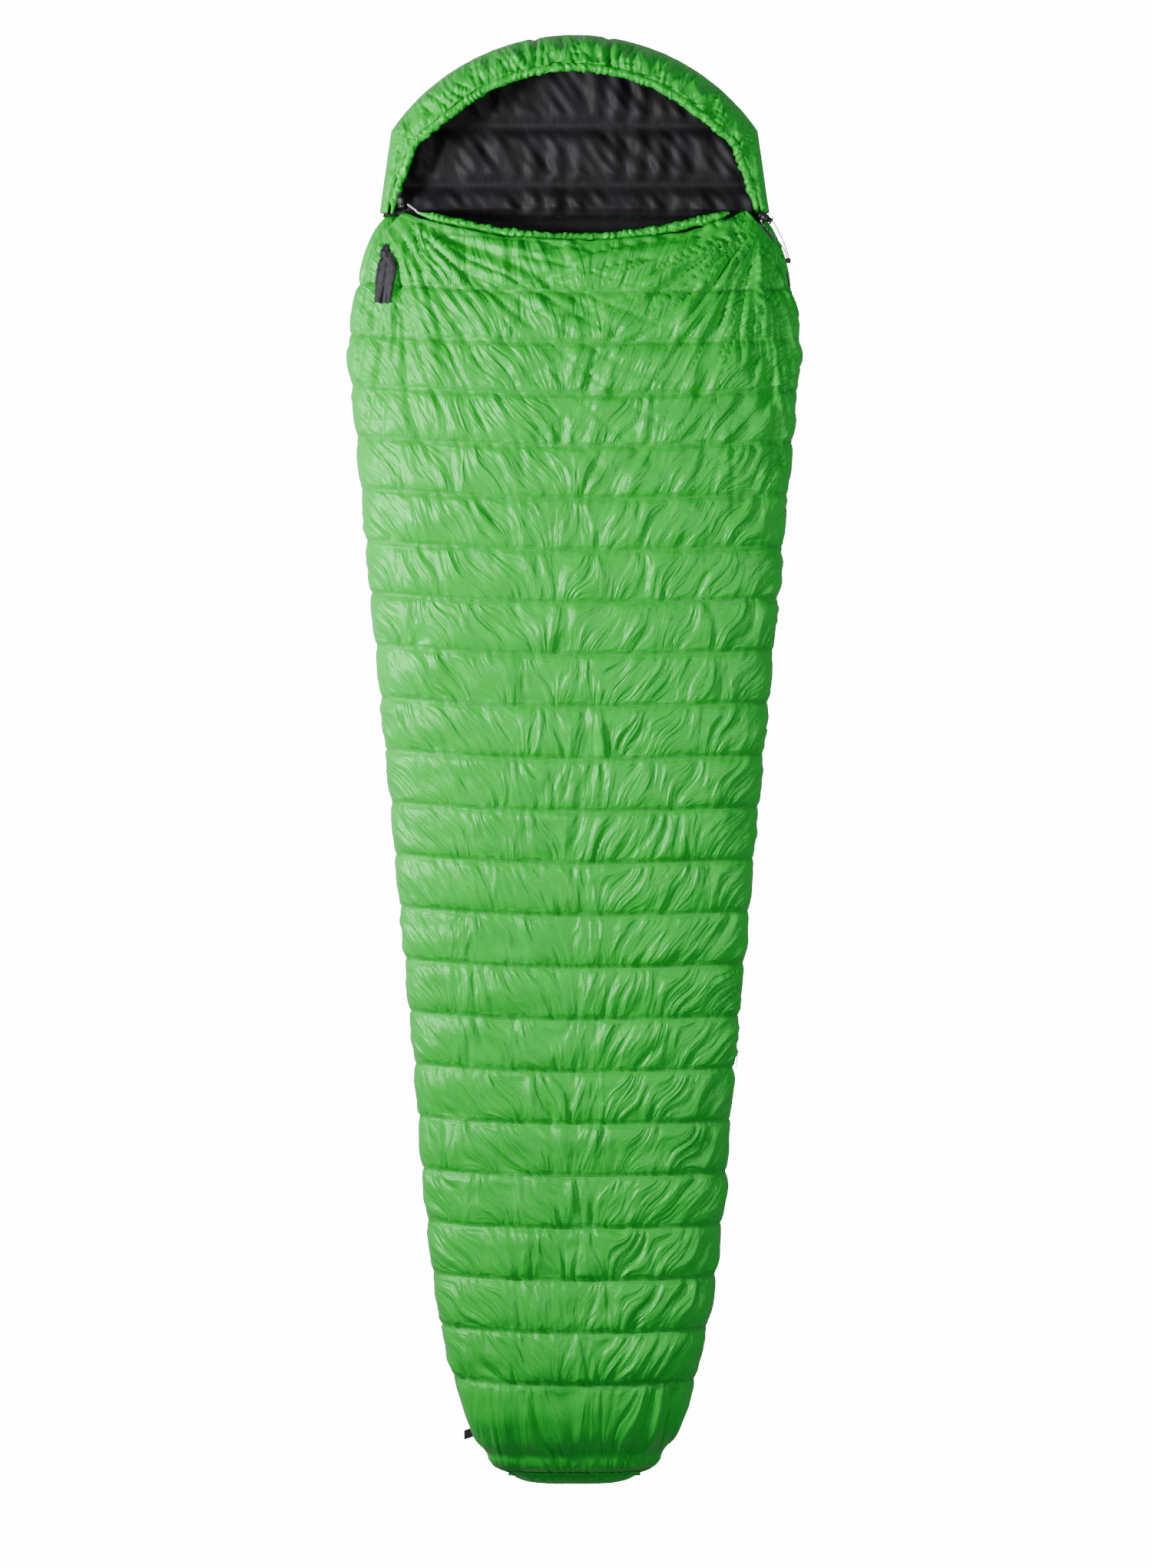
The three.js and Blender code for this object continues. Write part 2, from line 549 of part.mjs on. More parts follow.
const LABEL = { top: -966, bottom: -980, out: 12, thick: 0.8 };
const labelGrid = (z) => [LABEL.top, LABEL.bottom].map((y) => [0.5, LABEL.out].map(
  (d) => new THREE.Vector3(-halfWidth(y) - d, y - d * 0.5, z),
));
add("foot_label", slab(labelGrid(SEAM_Z), labelGrid(SEAM_Z - LABEL.thick)), ZIP_BLACK);

export default part;
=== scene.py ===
"""Mummy sleeping bag laid flat on its back: quilted shell, hood, side zip, cord locks and trim.

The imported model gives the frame. Each class below makes one sub-assembly in millimetres, in that frame, and
turns it into metres when its meshes are made.
"""

from __future__ import annotations

import logging
import math
from dataclasses import dataclass, field
from enum import Enum
from typing import Iterable, Sequence

import bmesh
import bpy
import numpy as np
from mathutils import Matrix, Vector


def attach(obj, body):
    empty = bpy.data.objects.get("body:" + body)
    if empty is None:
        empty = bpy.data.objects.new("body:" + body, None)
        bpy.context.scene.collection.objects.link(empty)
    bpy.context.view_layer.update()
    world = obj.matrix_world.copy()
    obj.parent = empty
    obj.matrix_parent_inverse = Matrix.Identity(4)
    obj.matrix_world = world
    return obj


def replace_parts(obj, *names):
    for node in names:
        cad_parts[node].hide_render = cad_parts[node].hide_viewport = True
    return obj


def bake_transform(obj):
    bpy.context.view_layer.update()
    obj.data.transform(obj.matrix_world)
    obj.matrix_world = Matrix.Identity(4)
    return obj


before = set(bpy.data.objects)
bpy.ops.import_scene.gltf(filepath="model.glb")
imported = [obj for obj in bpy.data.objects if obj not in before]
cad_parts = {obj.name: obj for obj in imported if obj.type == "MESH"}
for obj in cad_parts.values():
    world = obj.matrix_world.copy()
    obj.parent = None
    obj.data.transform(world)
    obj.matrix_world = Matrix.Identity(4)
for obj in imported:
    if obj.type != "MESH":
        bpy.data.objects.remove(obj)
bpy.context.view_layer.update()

LOG = logging.getLogger("sleeping_bag")
MM = 0.001

Array = np.ndarray
Colour = tuple[float, float, float]


# ---------------------------------------- small maths
def smooth(t: Array | float) -> Array:
    """Smoothstep of t, held between 0 and 1."""
    t = np.clip(t, 0.0, 1.0)
    return t * t * (3.0 - 2.0 * t)


def mix(a: Array | float, b: Array | float, t: Array | float) -> Array:
    """Straight mix of a and b at t."""
    return a + (b - a) * t


def linear(red: int, green: int, blue: int) -> Colour:
    """Scene-linear colour of 8-bit display values."""
    return tuple(
        v / 12.92 if v <= 0.04045 else ((v + 0.055) / 1.055) ** 2.4
        for v in (red / 255.0, green / 255.0, blue / 255.0)
    )


def catmull_rom(points: Array, count: int) -> Array:
    """Points on a uniform Catmull-Rom curve.

    Args:
        points: The curve's own points, one row each.
        count: How many points to return, the ends among them.

    Returns:
        An array of count rows.
    """
    last = len(points) - 1
    t = np.linspace(0.0, last, count)
    i = np.minimum(t.astype(int), last - 1)
    w = (t - i)[:, None]
    p0, p1 = points[np.maximum(i - 1, 0)], points[i]
    p2, p3 = points[i + 1], points[np.minimum(i + 2, last)]
    return 0.5 * (
        2 * p1 + (p2 - p0) * w + (2 * p0 - 5 * p1 + 4 * p2 - p3) * w**2 + (3 * p1 - p0 - 3 * p2 + p3) * w**3
    )


def even_path(points: Array, count: int) -> Array:
    """The same path with points at even distances.

    Args:
        points: Points close together on the path.
        count: How many points to return.

    Returns:
        An array of count rows.
    """
    steps = np.linalg.norm(np.diff(points, axis=0), axis=1)
    along = np.concatenate([[0.0], np.cumsum(steps)])
    wanted = np.linspace(0.0, along[-1], count)
    return np.stack([np.interp(wanted, along, points[:, k]) for k in range(points.shape[1])], axis=1)


def path_length(points: Array) -> float:
    """Length of a path through points."""
    return float(np.linalg.norm(np.diff(points, axis=0), axis=1).sum())


@dataclass(frozen=True)
class Ripple:
    """Smooth seeded unevenness: a sum of sines over the plane, about -1 to 1."""

    seed: int
    wave: float
    terms: int = 9

    def at(self, x: Array, y: Array) -> Array:
        """Value at x, y, which are in the same unit as wave."""
        rng = np.random.default_rng(self.seed)
        total = np.zeros(np.broadcast(x, y).shape)
        for _ in range(self.terms):
            angle, phase = rng.uniform(0.0, 2 * np.pi, 2)
            k = 2 * np.pi / (self.wave * rng.uniform(0.6, 1.7))
            total += np.sin(k * (x * np.cos(angle) + y * np.sin(angle)) + phase)
        return total / math.sqrt(self.terms)


# ---------------------------------------- mesh making
def make_object(name: str, points: Array, faces: Iterable[Sequence[int]],
                uv: Array | None = None) -> bpy.types.Object:
    """A mesh object in the scene, smooth shaded.

    Args:
        name: The object's name.
        points: Points in millimetres, one row each.
        faces: Vertex numbers of each face.
        uv: Cloth coordinates in metres of each point, stored as the piece's own UV map.

    Returns:
        The new object, at the origin.
    """
    mesh = bpy.data.meshes.new(name)
    mesh.from_pydata((points * MM).tolist(), [], [list(f) for f in faces])
    mesh.polygons.foreach_set("use_smooth", np.ones(len(mesh.polygons), bool))
    if uv is not None:
        layer = mesh.uv_layers.new(name="cloth")
        corners = np.empty(len(mesh.loops), np.int32)
        mesh.loops.foreach_get("vertex_index", corners)
        layer.data.foreach_set("uv", uv[corners].astype(np.float32).ravel())
    mesh.validate()
    obj = bpy.data.objects.new(name, mesh)
    bpy.context.scene.collection.objects.link(obj)
    return obj


def grid_faces(rows: int, cols: int, start: int = 0, flip: bool = False) -> list[tuple[int, int, int, int]]:
    """Quads of an open grid of points, numbered row by row from start."""
    i, j = np.meshgrid(np.arange(rows - 1), np.arange(cols - 1), indexing="ij")
    a = (start + i * cols + j).ravel()
    quads = np.stack([a, a + 1, a + cols + 1, a + cols], axis=1)
    return (quads[:, ::-1] if flip else quads).tolist()


def edge_ring(rows: int, cols: int, start: int = 0) -> list[int]:
    """Point numbers round the edge of a grid, in one direction."""
    top = [start + j for j in range(cols)]
    right = [start + i * cols + cols - 1 for i in range(1, rows)]
    low = [start + (rows - 1) * cols + j for j in range(cols - 2, -1, -1)]
    left = [start + i * cols for i in range(rows - 2, 0, -1)]
    return top + right + low + left


def pad_object(name: str, outer: Array, inner: Array, outer_uv: Array | None = None) -> bpy.types.Object:
    """Closed pad between a fine grid and a coarser one behind it, joined round the edge.

    Args:
        name: The object's name.
        outer: Rows by columns of points of the face that shows.
        inner: The same face behind, with a whole number of the outer grid's cells to each of its own.
        outer_uv: Cloth coordinates of the outer points, in metres.

    Returns:
        The object, with its faces outwards.
    """
    (rows, cols), (low_rows, low_cols) = outer.shape[:2], inner.shape[:2]
    step = (rows - 1) // (low_rows - 1)
    points = np.concatenate([outer.reshape(-1, 3), inner.reshape(-1, 3)])
    faces = grid_faces(rows, cols) + grid_faces(low_rows, low_cols, rows * cols, flip=True)
    fine, coarse = edge_ring(rows, cols), edge_ring(low_rows, low_cols, rows * cols)
    for k, here in enumerate(coarse):
        after = coarse[(k + 1) % len(coarse)]
        edge = [fine[(k * step + m) % len(fine)] for m in range(step, -1, -1)]
        faces.append([here, after, *edge])
    uv = None
    if outer_uv is not None:
        flat = inner.reshape(-1, 3)[:, :2] * MM
        uv = np.concatenate([outer_uv.reshape(-1, 2), flat])
    made = make_object(name, points, faces, uv)
    return face_outwards(made)


def face_outwards(obj: bpy.types.Object) -> bpy.types.Object:
    """Turns a closed mesh whose volume is negative inside out, so that its faces point outwards."""
    mesh = obj.data
    mesh.calc_loop_triangles()
    co = np.empty(len(mesh.vertices) * 3, np.float32)
    mesh.vertices.foreach_get("co", co)
    tri = np.empty(len(mesh.loop_triangles) * 3, np.int32)
    mesh.loop_triangles.foreach_get("vertices", tri)
    p = co.reshape(-1, 3).astype(float)[tri.reshape(-1, 3)]
    if np.einsum("ij,ij->i", p[:, 0], np.cross(p[:, 1], p[:, 2])).sum() < 0:
        mesh.flip_normals()
    return obj


def run_tree(name: str, paths: Sequence[Array], tree: bpy.types.GeometryNodeTree,
             values: dict) -> bpy.types.Object:
    """Plain mesh that a node tree makes along paths.

    Args:
        name: The piece's name.
        paths: Lines of points, in millimetres.
        tree: The node tree, whose first input takes the paths.
        values: Values of its other inputs, by name.

    Returns:
        The piece, without its modifier.
    """
    mesh = bpy.data.meshes.new(name + "_paths")
    points, edges = [], []
    for path in paths:
        first = len(points)
        points += (path * MM).tolist()
        edges += [(first + k, first + k + 1) for k in range(len(path) - 1)]
    mesh.from_pydata(points, edges, [])
    source = bpy.data.objects.new(name + "_paths", mesh)
    bpy.context.scene.collection.objects.link(source)
    modifier = source.modifiers.new("along_paths", "NODES")
    modifier.node_group = tree
    for item in tree.interface.items_tree:
        if item.name in values and item.in_out == "INPUT":
            modifier[item.identifier] = values[item.name]
    made = bpy.data.objects.new(name, evaluated_mesh(source, name))
    bpy.context.scene.collection.objects.link(made)
    bpy.data.objects.remove(source)
    return made


def frames_along(path: Array) -> tuple[Array, Array, Array]:
    """Tangent, side and up of a path at each point, turning as little as they can."""
    tangent = np.gradient(path, axis=0)
    tangent /= np.linalg.norm(tangent, axis=1, keepdims=True)
    up = np.empty_like(path)
    first = np.array([0.0, 0.0, 1.0]) if abs(tangent[0, 2]) < 0.9 else np.array([0.0, 1.0, 0.0])
    for i, t in enumerate(tangent):
        base = first if i == 0 else up[i - 1]
        base = base - t * (base @ t)
        up[i] = base / np.linalg.norm(base)
    return tangent, np.cross(tangent, up), up


def tube_object(name: str, path: Array, radius: Array | float, sides: int = 16,
                relief: Array | None = None) -> bpy.types.Object:
    """Closed round tube along a path, with rounded ends.

    Args:
        name: The object's name.
        path: Points along the middle.
        radius: Its radius, one value or one for each point.
        sides: Points round it.
        relief: Distance added to the radius, for each point by each side.

    Returns:
        The tube, whose cloth coordinates are metres along and round it.
    """
    count = len(path)
    _, side, up = frames_along(path)
    turn = np.linspace(0.0, 2 * np.pi, sides, endpoint=False)
    reach = np.broadcast_to(np.asarray(radius, float).reshape(-1, 1), (count, sides)).copy()
    if relief is not None:
        reach += relief
    reach[0] *= 0.55
    reach[-1] *= 0.55
    ring = side[:, None] * np.cos(turn)[None, :, None] + up[:, None] * np.sin(turn)[None, :, None]
    points = (path[:, None] + ring * reach[..., None]).reshape(-1, 3)
    i, j = np.meshgrid(np.arange(count - 1), np.arange(sides), indexing="ij")
    a, b = (i * sides + j).ravel(), (i * sides + (j + 1) % sides).ravel()
    faces = np.stack([a, b, b + sides, a + sides], axis=1).tolist()
    faces.append(list(range(sides - 1, -1, -1)))
    faces.append(list(range((count - 1) * sides, count * sides)))
    along = np.concatenate([[0.0], np.cumsum(np.linalg.norm(np.diff(path, axis=0), axis=1))])
    round_share = np.minimum(np.arange(sides), sides - np.arange(sides)) / sides
    uv = np.stack(np.broadcast_arrays(along[:, None] * MM, round_share[None] * 0.02), axis=-1).reshape(-1, 2)
    return face_outwards(make_object(name, points, faces, uv))


def lathe_object(name: str, profile: Sequence[tuple[float, float]], place: Matrix, sides: int = 40,
                 ribs: int = 0, rib_depth: float = 0.0) -> bpy.types.Object:
    """Turned piece about its own Z axis, placed by a matrix.

    Args:
        name: The object's name.
        profile: Radius and height of each point, from the axis back to the axis.
        place: Where the piece goes, in millimetres.
        sides: Points round it.
        ribs: Grip ribs round it, cut where the profile is widest.
        rib_depth: Depth of the grooves between the ribs.

    Returns:
        The placed object.
    """
    turn = np.linspace(0.0, 2 * np.pi, sides, endpoint=False)
    widest = max(r for r, _ in profile)
    points, rings = [], []
    for r, z in profile:
        if r < 1e-6:
            rings.append([len(points)])
            points.append((0.0, 0.0, z))
            continue
        cut = rib_depth * (0.5 - 0.5 * np.cos(ribs * turn)) * (r > 0.93 * widest) if ribs else np.zeros(sides)
        rings.append(list(range(len(points), len(points) + sides)))
        points += [((r - c) * math.cos(t), (r - c) * math.sin(t), z) for t, c in zip(turn, cut)]
    faces = []
    for low, high in zip(rings, rings[1:]):
        for k in range(sides):
            a, b = low[k % len(low)], low[(k + 1) % len(low)]
            c, d = high[(k + 1) % len(high)], high[k % len(high)]
            faces.append(tuple(dict.fromkeys((a, b, c, d))))
    placed = np.array([place @ Vector(p) for p in points])
    return face_outwards(make_object(name, placed, faces))


def block_object(name: str, outline: Sequence[tuple[float, float]], thick: tuple[float, float], place: Matrix,
                 bevel: float, holes: Sequence[Sequence[tuple[float, float]]] = ()) -> bpy.types.Object:
    """Flat plate of an outline, with rounded edges, placed by a matrix.

    Args:
        name: The object's name.
        outline: The plate's outline in its own X and Y.
        thick: Lowest and highest Z.
        place: Where the plate goes, in millimetres.
        bevel: Radius of its edges.
        holes: Outlines cut through it.

    Returns:
        The placed plate, as a mesh.
    """
    curve = bpy.data.curves.new(name, "CURVE")
    curve.dimensions, curve.fill_mode = "2D", "BOTH"
    for loop in (outline, *holes):
        spline = curve.splines.new("POLY")
        spline.points.add(len(loop) - 1)
        spline.use_cyclic_u = True
        for point, (x, y) in zip(spline.points, loop):
            point.co = (x * MM, y * MM, 0.0, 1.0)
    curve.extrude = (thick[1] - thick[0]) / 2 * MM - bevel * MM
    curve.bevel_depth, curve.bevel_resolution, curve.offset = bevel * MM, 2, -bevel * MM
    source = bpy.data.objects.new(name + "_outline", curve)
    bpy.context.scene.collection.objects.link(source)
    mesh = evaluated_mesh(source, name)
    bpy.data.objects.remove(source)
    mesh.transform(Matrix.Translation((0.0, 0.0, (thick[0] + thick[1]) / 2 * MM)))
    metres = place.copy()
    metres.translation = place.translation * MM
    mesh.transform(metres)
    obj = bpy.data.objects.new(name, mesh)
    bpy.context.scene.collection.objects.link(obj)
    weld(obj)
    return face_outwards(obj)


def evaluated_mesh(obj: bpy.types.Object, name: str) -> bpy.types.Mesh:
    """Plain mesh of an object with its modifiers applied."""
    graph = bpy.context.evaluated_depsgraph_get()
    mesh = bpy.data.meshes.new_from_object(obj.evaluated_get(graph), depsgraph=graph)
    mesh.name = name
    return mesh


def weld(obj: bpy.types.Object, distance: float = 1e-6) -> None:
    """Merges points of obj that lie together."""
    work = bmesh.new()
    work.from_mesh(obj.data)
    bmesh.ops.remove_doubles(work, verts=work.verts, dist=distance)
    work.to_mesh(obj.data)
    work.free()


# ---------------------------------------- node graphs
class Signal:
    """An output socket whose arithmetic adds Math nodes to its tree."""

    def __init__(self, graph: "Graph", socket: bpy.types.NodeSocket) -> None:
        """Wraps one socket of a graph."""
        self.graph, self.socket = graph, socket

    def _math(self, operation: str, *values: "Signal | float") -> "Signal":
        """Math node of an operation on this tree."""
        return self.graph.make("ShaderNodeMath", {"operation": operation}, dict(enumerate(values)))

    def __add__(self, other: "Signal | float") -> "Signal":
        """Sum."""
        return self._math("ADD", self, other)

    __radd__ = __add__

    def __sub__(self, other: "Signal | float") -> "Signal":
        """Difference."""
        return self._math("SUBTRACT", self, other)

    def __rsub__(self, other: float) -> "Signal":
        """Difference from a number."""
        return self._math("SUBTRACT", other, self)

    def __mul__(self, other: "Signal | float") -> "Signal":
        """Product."""
        return self._math("MULTIPLY", self, other)

    __rmul__ = __mul__

    def __truediv__(self, other: "Signal | float") -> "Signal":
        """Quotient."""
        return self._math("DIVIDE", self, other)

    def wave(self) -> "Signal":
        """Sine."""
        return self._math("SINE", self)

    def size(self) -> "Signal":
        """Absolute value."""
        return self._math("ABSOLUTE", self)

    def fraction(self) -> "Signal":
        """Fractional part."""
        return self._math("FRACT", self)

    def above(self, level: float) -> "Signal":
        """1 where it is above a level, else 0."""
        return self._math("GREATER_THAN", self, level)

    def between(self, low: float, high: float) -> "Signal":
        """Smooth 0 to 1 from low to high."""
        return self.graph.make(
            "ShaderNodeMapRange", {"interpolation_type": "SMOOTHSTEP"},
            {"Value": self, "From Min": low, "From Max": high},
        )


class Graph:
    """A node tree and the one method that adds its nodes."""

    def __init__(self, tree: bpy.types.NodeTree) -> None:
        """Wraps a tree."""
        self.tree = tree

    def make(self, kind: str, settings: dict | None = None, values: dict | None = None,
             out: int | str = 0) -> Signal:
        """Adds a node.

        Args:
            kind: The node's type.
            settings: Its properties.
            values: Values or links of its inputs, by name or number.
            out: Which output to return.

        Returns:
            The chosen output as a signal.
        """
        node = self.tree.nodes.new(kind)
        for key, value in (settings or {}).items():
            setattr(node, key, value)
        for key, value in (values or {}).items():
            self.feed(node.inputs[key], value)
        return Signal(self, node.outputs[out]) if len(node.outputs) else Signal(self, node.inputs[0])

    def feed(self, socket: bpy.types.NodeSocket, value: object) -> None:
        """Links a signal to an input, or sets the input's value."""
        if isinstance(value, Signal):
            self.tree.links.new(value.socket, socket)
        elif isinstance(value, tuple) and socket.type == "RGBA":
            socket.default_value = (*value, 1.0)
        else:
            socket.default_value = value


class Space(Enum):
    """What a finish's pattern is laid out on."""

    CLOTH = "UV"
    SOLID = "Object"


@dataclass(frozen=True)
class Finish:
    """A finish with its colour, gloss and pattern.

    Attributes:
        name: The material's name.
        colour: Main colour.
        shade: Second colour that the pattern mixes in.
        roughness: Mean roughness.
        slot: Name of a material slot; not used.
        space: What the pattern is laid out on.
        metallic: 1 for metal.
        coat: Weight of a thin clear film.
    """

    name: str
    colour: Colour
    shade: Colour
    roughness: float
    slot: str
    space: Space = Space.SOLID
    metallic: float = 0.0
    coat: float = 0.0

    def material(self) -> bpy.types.Material:
        """The Blender material, made once."""
        found = bpy.data.materials.get(self.name)
        if found:
            return found
        made = bpy.data.materials.new(self.name)
        made.use_nodes = True
        made.node_tree.nodes.clear()
        graph = Graph(made.node_tree)
        place = graph.make("ShaderNodeTexCoord", out=self.space.value)
        tone, gloss, relief, depth = self.pattern(graph, place)
        colour = graph.make(
            "ShaderNodeMix", {"data_type": "RGBA"}, {0: tone, 6: self.colour, 7: self.shade}, out=2
        )
        bump = graph.make("ShaderNodeBump", None, {"Strength": 1.0, "Distance": depth, "Height": relief})
        shader = graph.make("ShaderNodeBsdfPrincipled", None, {
            "Base Color": colour, "Roughness": gloss, "Metallic": self.metallic, "Coat Weight": self.coat,
            "Coat Roughness": 0.3, "Normal": bump, **self.shader_values(),
        })
        graph.make("ShaderNodeOutputMaterial", None, {"Surface": shader})
        return made

    def shader_values(self) -> dict:
        """Further constant values of the shader's sockets."""
        return {}

    def pattern(self, graph: Graph, place: Signal) -> tuple[Signal, Signal, Signal, float]:
        """Colour mix, roughness, relief and the relief's depth in metres."""
        grain = noise(graph, place, 900.0, 3.0)
        patch = noise(graph, place, 22.0, 2.0)
        return patch.between(0.35, 0.75), grain * 0.12 + (self.roughness - 0.06), grain, 0.00012

    def dress(self, obj: bpy.types.Object) -> bpy.types.Object:
        """Gives obj this finish."""
        obj.data.materials.clear()
        obj.data.materials.append(self.material())
        return obj


def noise(graph: Graph, place: Signal, scale: float, detail: float,
          stretch: tuple[float, float, float] | None = None) -> Signal:
    """Noise value at a place, stretched by a Mapping node where asked."""
    if stretch:
        place = graph.make("ShaderNodeMapping", None, {"Vector": place, "Scale": stretch})
    return graph.make(
        "ShaderNodeTexNoise", {"noise_dimensions": "3D"}, {"Vector": place, "Scale": scale, "Detail": detail}
    )


def parts_of(graph: Graph, place: Signal) -> tuple[Signal, Signal, Signal]:
    """X, Y and Z of a vector."""
    node = graph.make("ShaderNodeSeparateXYZ", None, {0: place})
    outs = node.socket.node.outputs
    return tuple(Signal(graph, outs[k]) for k in range(3))


@dataclass(frozen=True)
class SatinNylon(Finish):
    """Thin calendered shell nylon: satin gloss, fine crinkles, a faint check of stronger threads."""

    def pattern(self, graph: Graph, place: Signal) -> tuple[Signal, Signal, Signal, float]:
        """Crinkles and creases across the channels, a ripstop check and plain weave, with painted shade along
        the seams.
        """
        u, v, _ = parts_of(graph, place)
        seam = graph.make("ShaderNodeAttribute", {"attribute_name": "seam"}, out="Fac")
        lean = graph.make("ShaderNodeAttribute", {"attribute_name": "crease_place"}, out="Vector")
        crinkle = noise(graph, place, 1.0, 4.0, (95.0, 42.0, 1.0))
        long_folds = noise(graph, lean, 1.0, 1.5, (62.0, 15.0, 15.0))
        fold = 1.0 - (long_folds - 0.5).size() * 7.0
        short_folds = noise(graph, lean, 1.0, 2.0, (125.0, 34.0, 34.0))
        clear = 1.0 - seam.between(0.0, 0.1)
        check_u = ((u * 200.0).fraction() - 0.5).size().above(0.46)
        check_v = ((v * 200.0).fraction() - 0.5).size().above(0.46)
        check = check_u + check_v
        weave = (u * 9000.0).wave() * (v * 9000.0).wave()
        creases = (fold.between(0.0, 1.0) * 0.5 + short_folds * 1.3 - 0.9) * clear
        relief = crinkle * 0.3 + creases + check * 0.03 + weave * 0.012 - seam * 0.2
        # painted shade: within a few millimetres of each seam, where the cloth dips into its valley, the
        # colour turns to the darker green; the rest of the tone varies at random
        tone = noise(graph, place, 14.0, 3.0).between(0.3, 0.8) * 0.35 + seam * 0.5
        gloss = noise(graph, place, 60.0, 2.0) * 0.1 + (self.roughness - 0.05)
        return tone, gloss, relief, 0.0021

    def shader_values(self) -> dict:
        """Gloss of dyed cloth, which tints what it reflects."""
        return {"Specular Tint": (0.34, 1.0, 0.38), "Specular IOR Level": 0.9}


@dataclass(frozen=True)
class LiningCloth(Finish):
    """Matt black lining with soft folds, painted lighter on their crests and darker in their hollows."""

    def pattern(self, graph: Graph, place: Signal) -> tuple[Signal, Signal, Signal, float]:
        """Long soft folds and fine creases."""
        folds = noise(graph, place, 1.0, 3.0, (26.0, 11.0, 11.0))
        creases = noise(graph, place, 1.0, 3.0, (120.0, 60.0, 60.0))
        # painted light and shade: the colour is lighter where the folds' relief is high and darker in its
        # hollows
        tone = folds.between(0.35, 0.7)
        gloss = creases * 0.15 + (self.roughness - 0.07)
        return tone, gloss, folds * 0.7 + creases * 0.3, 0.003

    def shader_values(self) -> dict:
        """Weak gloss."""
        return {"Specular IOR Level": 0.3}


@dataclass(frozen=True)
class WovenTape(Finish):
    """Herringbone woven tape."""

    pitch: float = 0.0016

    def pattern(self, graph: Graph, place: Signal) -> tuple[Signal, Signal, Signal, float]:
        """Ribs that turn back and forth."""
        u, v, _ = parts_of(graph, place)
        zigzag = ((v / (self.pitch * 4)).fraction() - 0.5).size() * 4.0
        ribs = ((u / self.pitch + zigzag) * (2 * math.pi)).wave()
        return ribs.between(-0.2, 1.0), ribs * 0.04 + self.roughness, ribs, 0.00016


@dataclass(frozen=True)
class BraidedCord(Finish):
    """Braided cord with flecks of a second colour."""

    pitch: float = 0.0022
    fleck: float = 0.5

    def pattern(self, graph: Graph, place: Signal) -> tuple[Signal, Signal, Signal, float]:
        """Two crossing sets of strands, some of them dark."""
        u, v, _ = parts_of(graph, place)
        one = ((u / self.pitch + v * 300.0) * (2 * math.pi)).wave()
        two = ((u / self.pitch - v * 300.0) * (2 * math.pi)).wave()
        braid = one * two
        flecks = ((u / (self.pitch * 3.1) + v * 100.0) * (2 * math.pi)).wave()
        dark = flecks.between(self.fleck, self.fleck + 0.25)
        return dark, braid * 0.05 + self.roughness, braid, 0.0003


@dataclass(frozen=True)
class BrushedMetal(Finish):
    """Cast metal, lightly tumbled."""

    def pattern(self, graph: Graph, place: Signal) -> tuple[Signal, Signal, Signal, float]:
        """Fine scratches and wear."""
        scratch = noise(graph, place, 1.0, 3.0, (500.0, 4000.0, 900.0))
        wear = noise(graph, place, 160.0, 3.0)
        return wear.between(0.45, 0.7), wear * 0.25 + (self.roughness - 0.1), scratch, 0.00004


NYLON = SatinNylon(
    "green_satin_nylon", linear(20, 170, 44), linear(11, 132, 30), 0.37, "shell_nylon", Space.CLOTH
)
LINING = LiningCloth("black_lining", linear(12, 10, 14), linear(24, 21, 28), 0.66, "lining_nylon")
TAPE = WovenTape("black_woven_tape", linear(14, 14, 16), linear(40, 40, 44), 0.8, "zip_tape", Space.CLOTH)
TAB = WovenTape("black_webbing_tab", linear(14, 14, 16), linear(36, 36, 40), 0.8, "zip_tape")
COIL = Finish("black_coil_nylon", linear(17, 17, 19), linear(34, 34, 38), 0.35, "zip_coil")
METAL = BrushedMetal(
    "tumbled_slider_metal", linear(104, 106, 110), linear(150, 152, 155), 0.36, "slider_metal", metallic=1.0
)
STEEL = BrushedMetal(
    "spring_wire", linear(185, 188, 192), linear(205, 207, 210), 0.25, "spring_steel", metallic=1.0
)
PLASTIC = Finish("black_moulded_plastic", linear(16, 16, 18), linear(30, 30, 33), 0.42, "lock_plastic")
WHITE_CORD = BraidedCord(
    "white_braided_cord", linear(236, 236, 232), linear(196, 198, 196), 0.75, "cord_white", Space.CLOTH
)
FLECK_CORD = BraidedCord(
    "flecked_braided_cord", linear(212, 214, 212), linear(38, 40, 44), 0.75, "cord_fleck", Space.CLOTH,
    fleck=-0.15,
)
PATCH_CLOTH = WovenTape(
    "dark_grey_patch", linear(36, 36, 41), linear(52, 52, 58), 0.75, "patch_fabric", Space.CLOTH, pitch=0.0012
)
THREAD = BraidedCord("green_thread", linear(84, 180, 82), linear(60, 140, 60), 0.6, "shell_nylon")
TAPE_THREAD = BraidedCord("black_thread", linear(20, 20, 22), linear(40, 40, 44), 0.7, "patch_fabric")


# ---------------------------------------- the bag's form
def knot_table(knots: Sequence[tuple[float, float]]) -> tuple[Array, Array]:
    """Rising positions and the values there of a smooth curve through knots, which fall in position."""
    curve = catmull_rom(np.array(knots, float), 500)[::-1]
    return curve[:, 0], curve[:, 1]


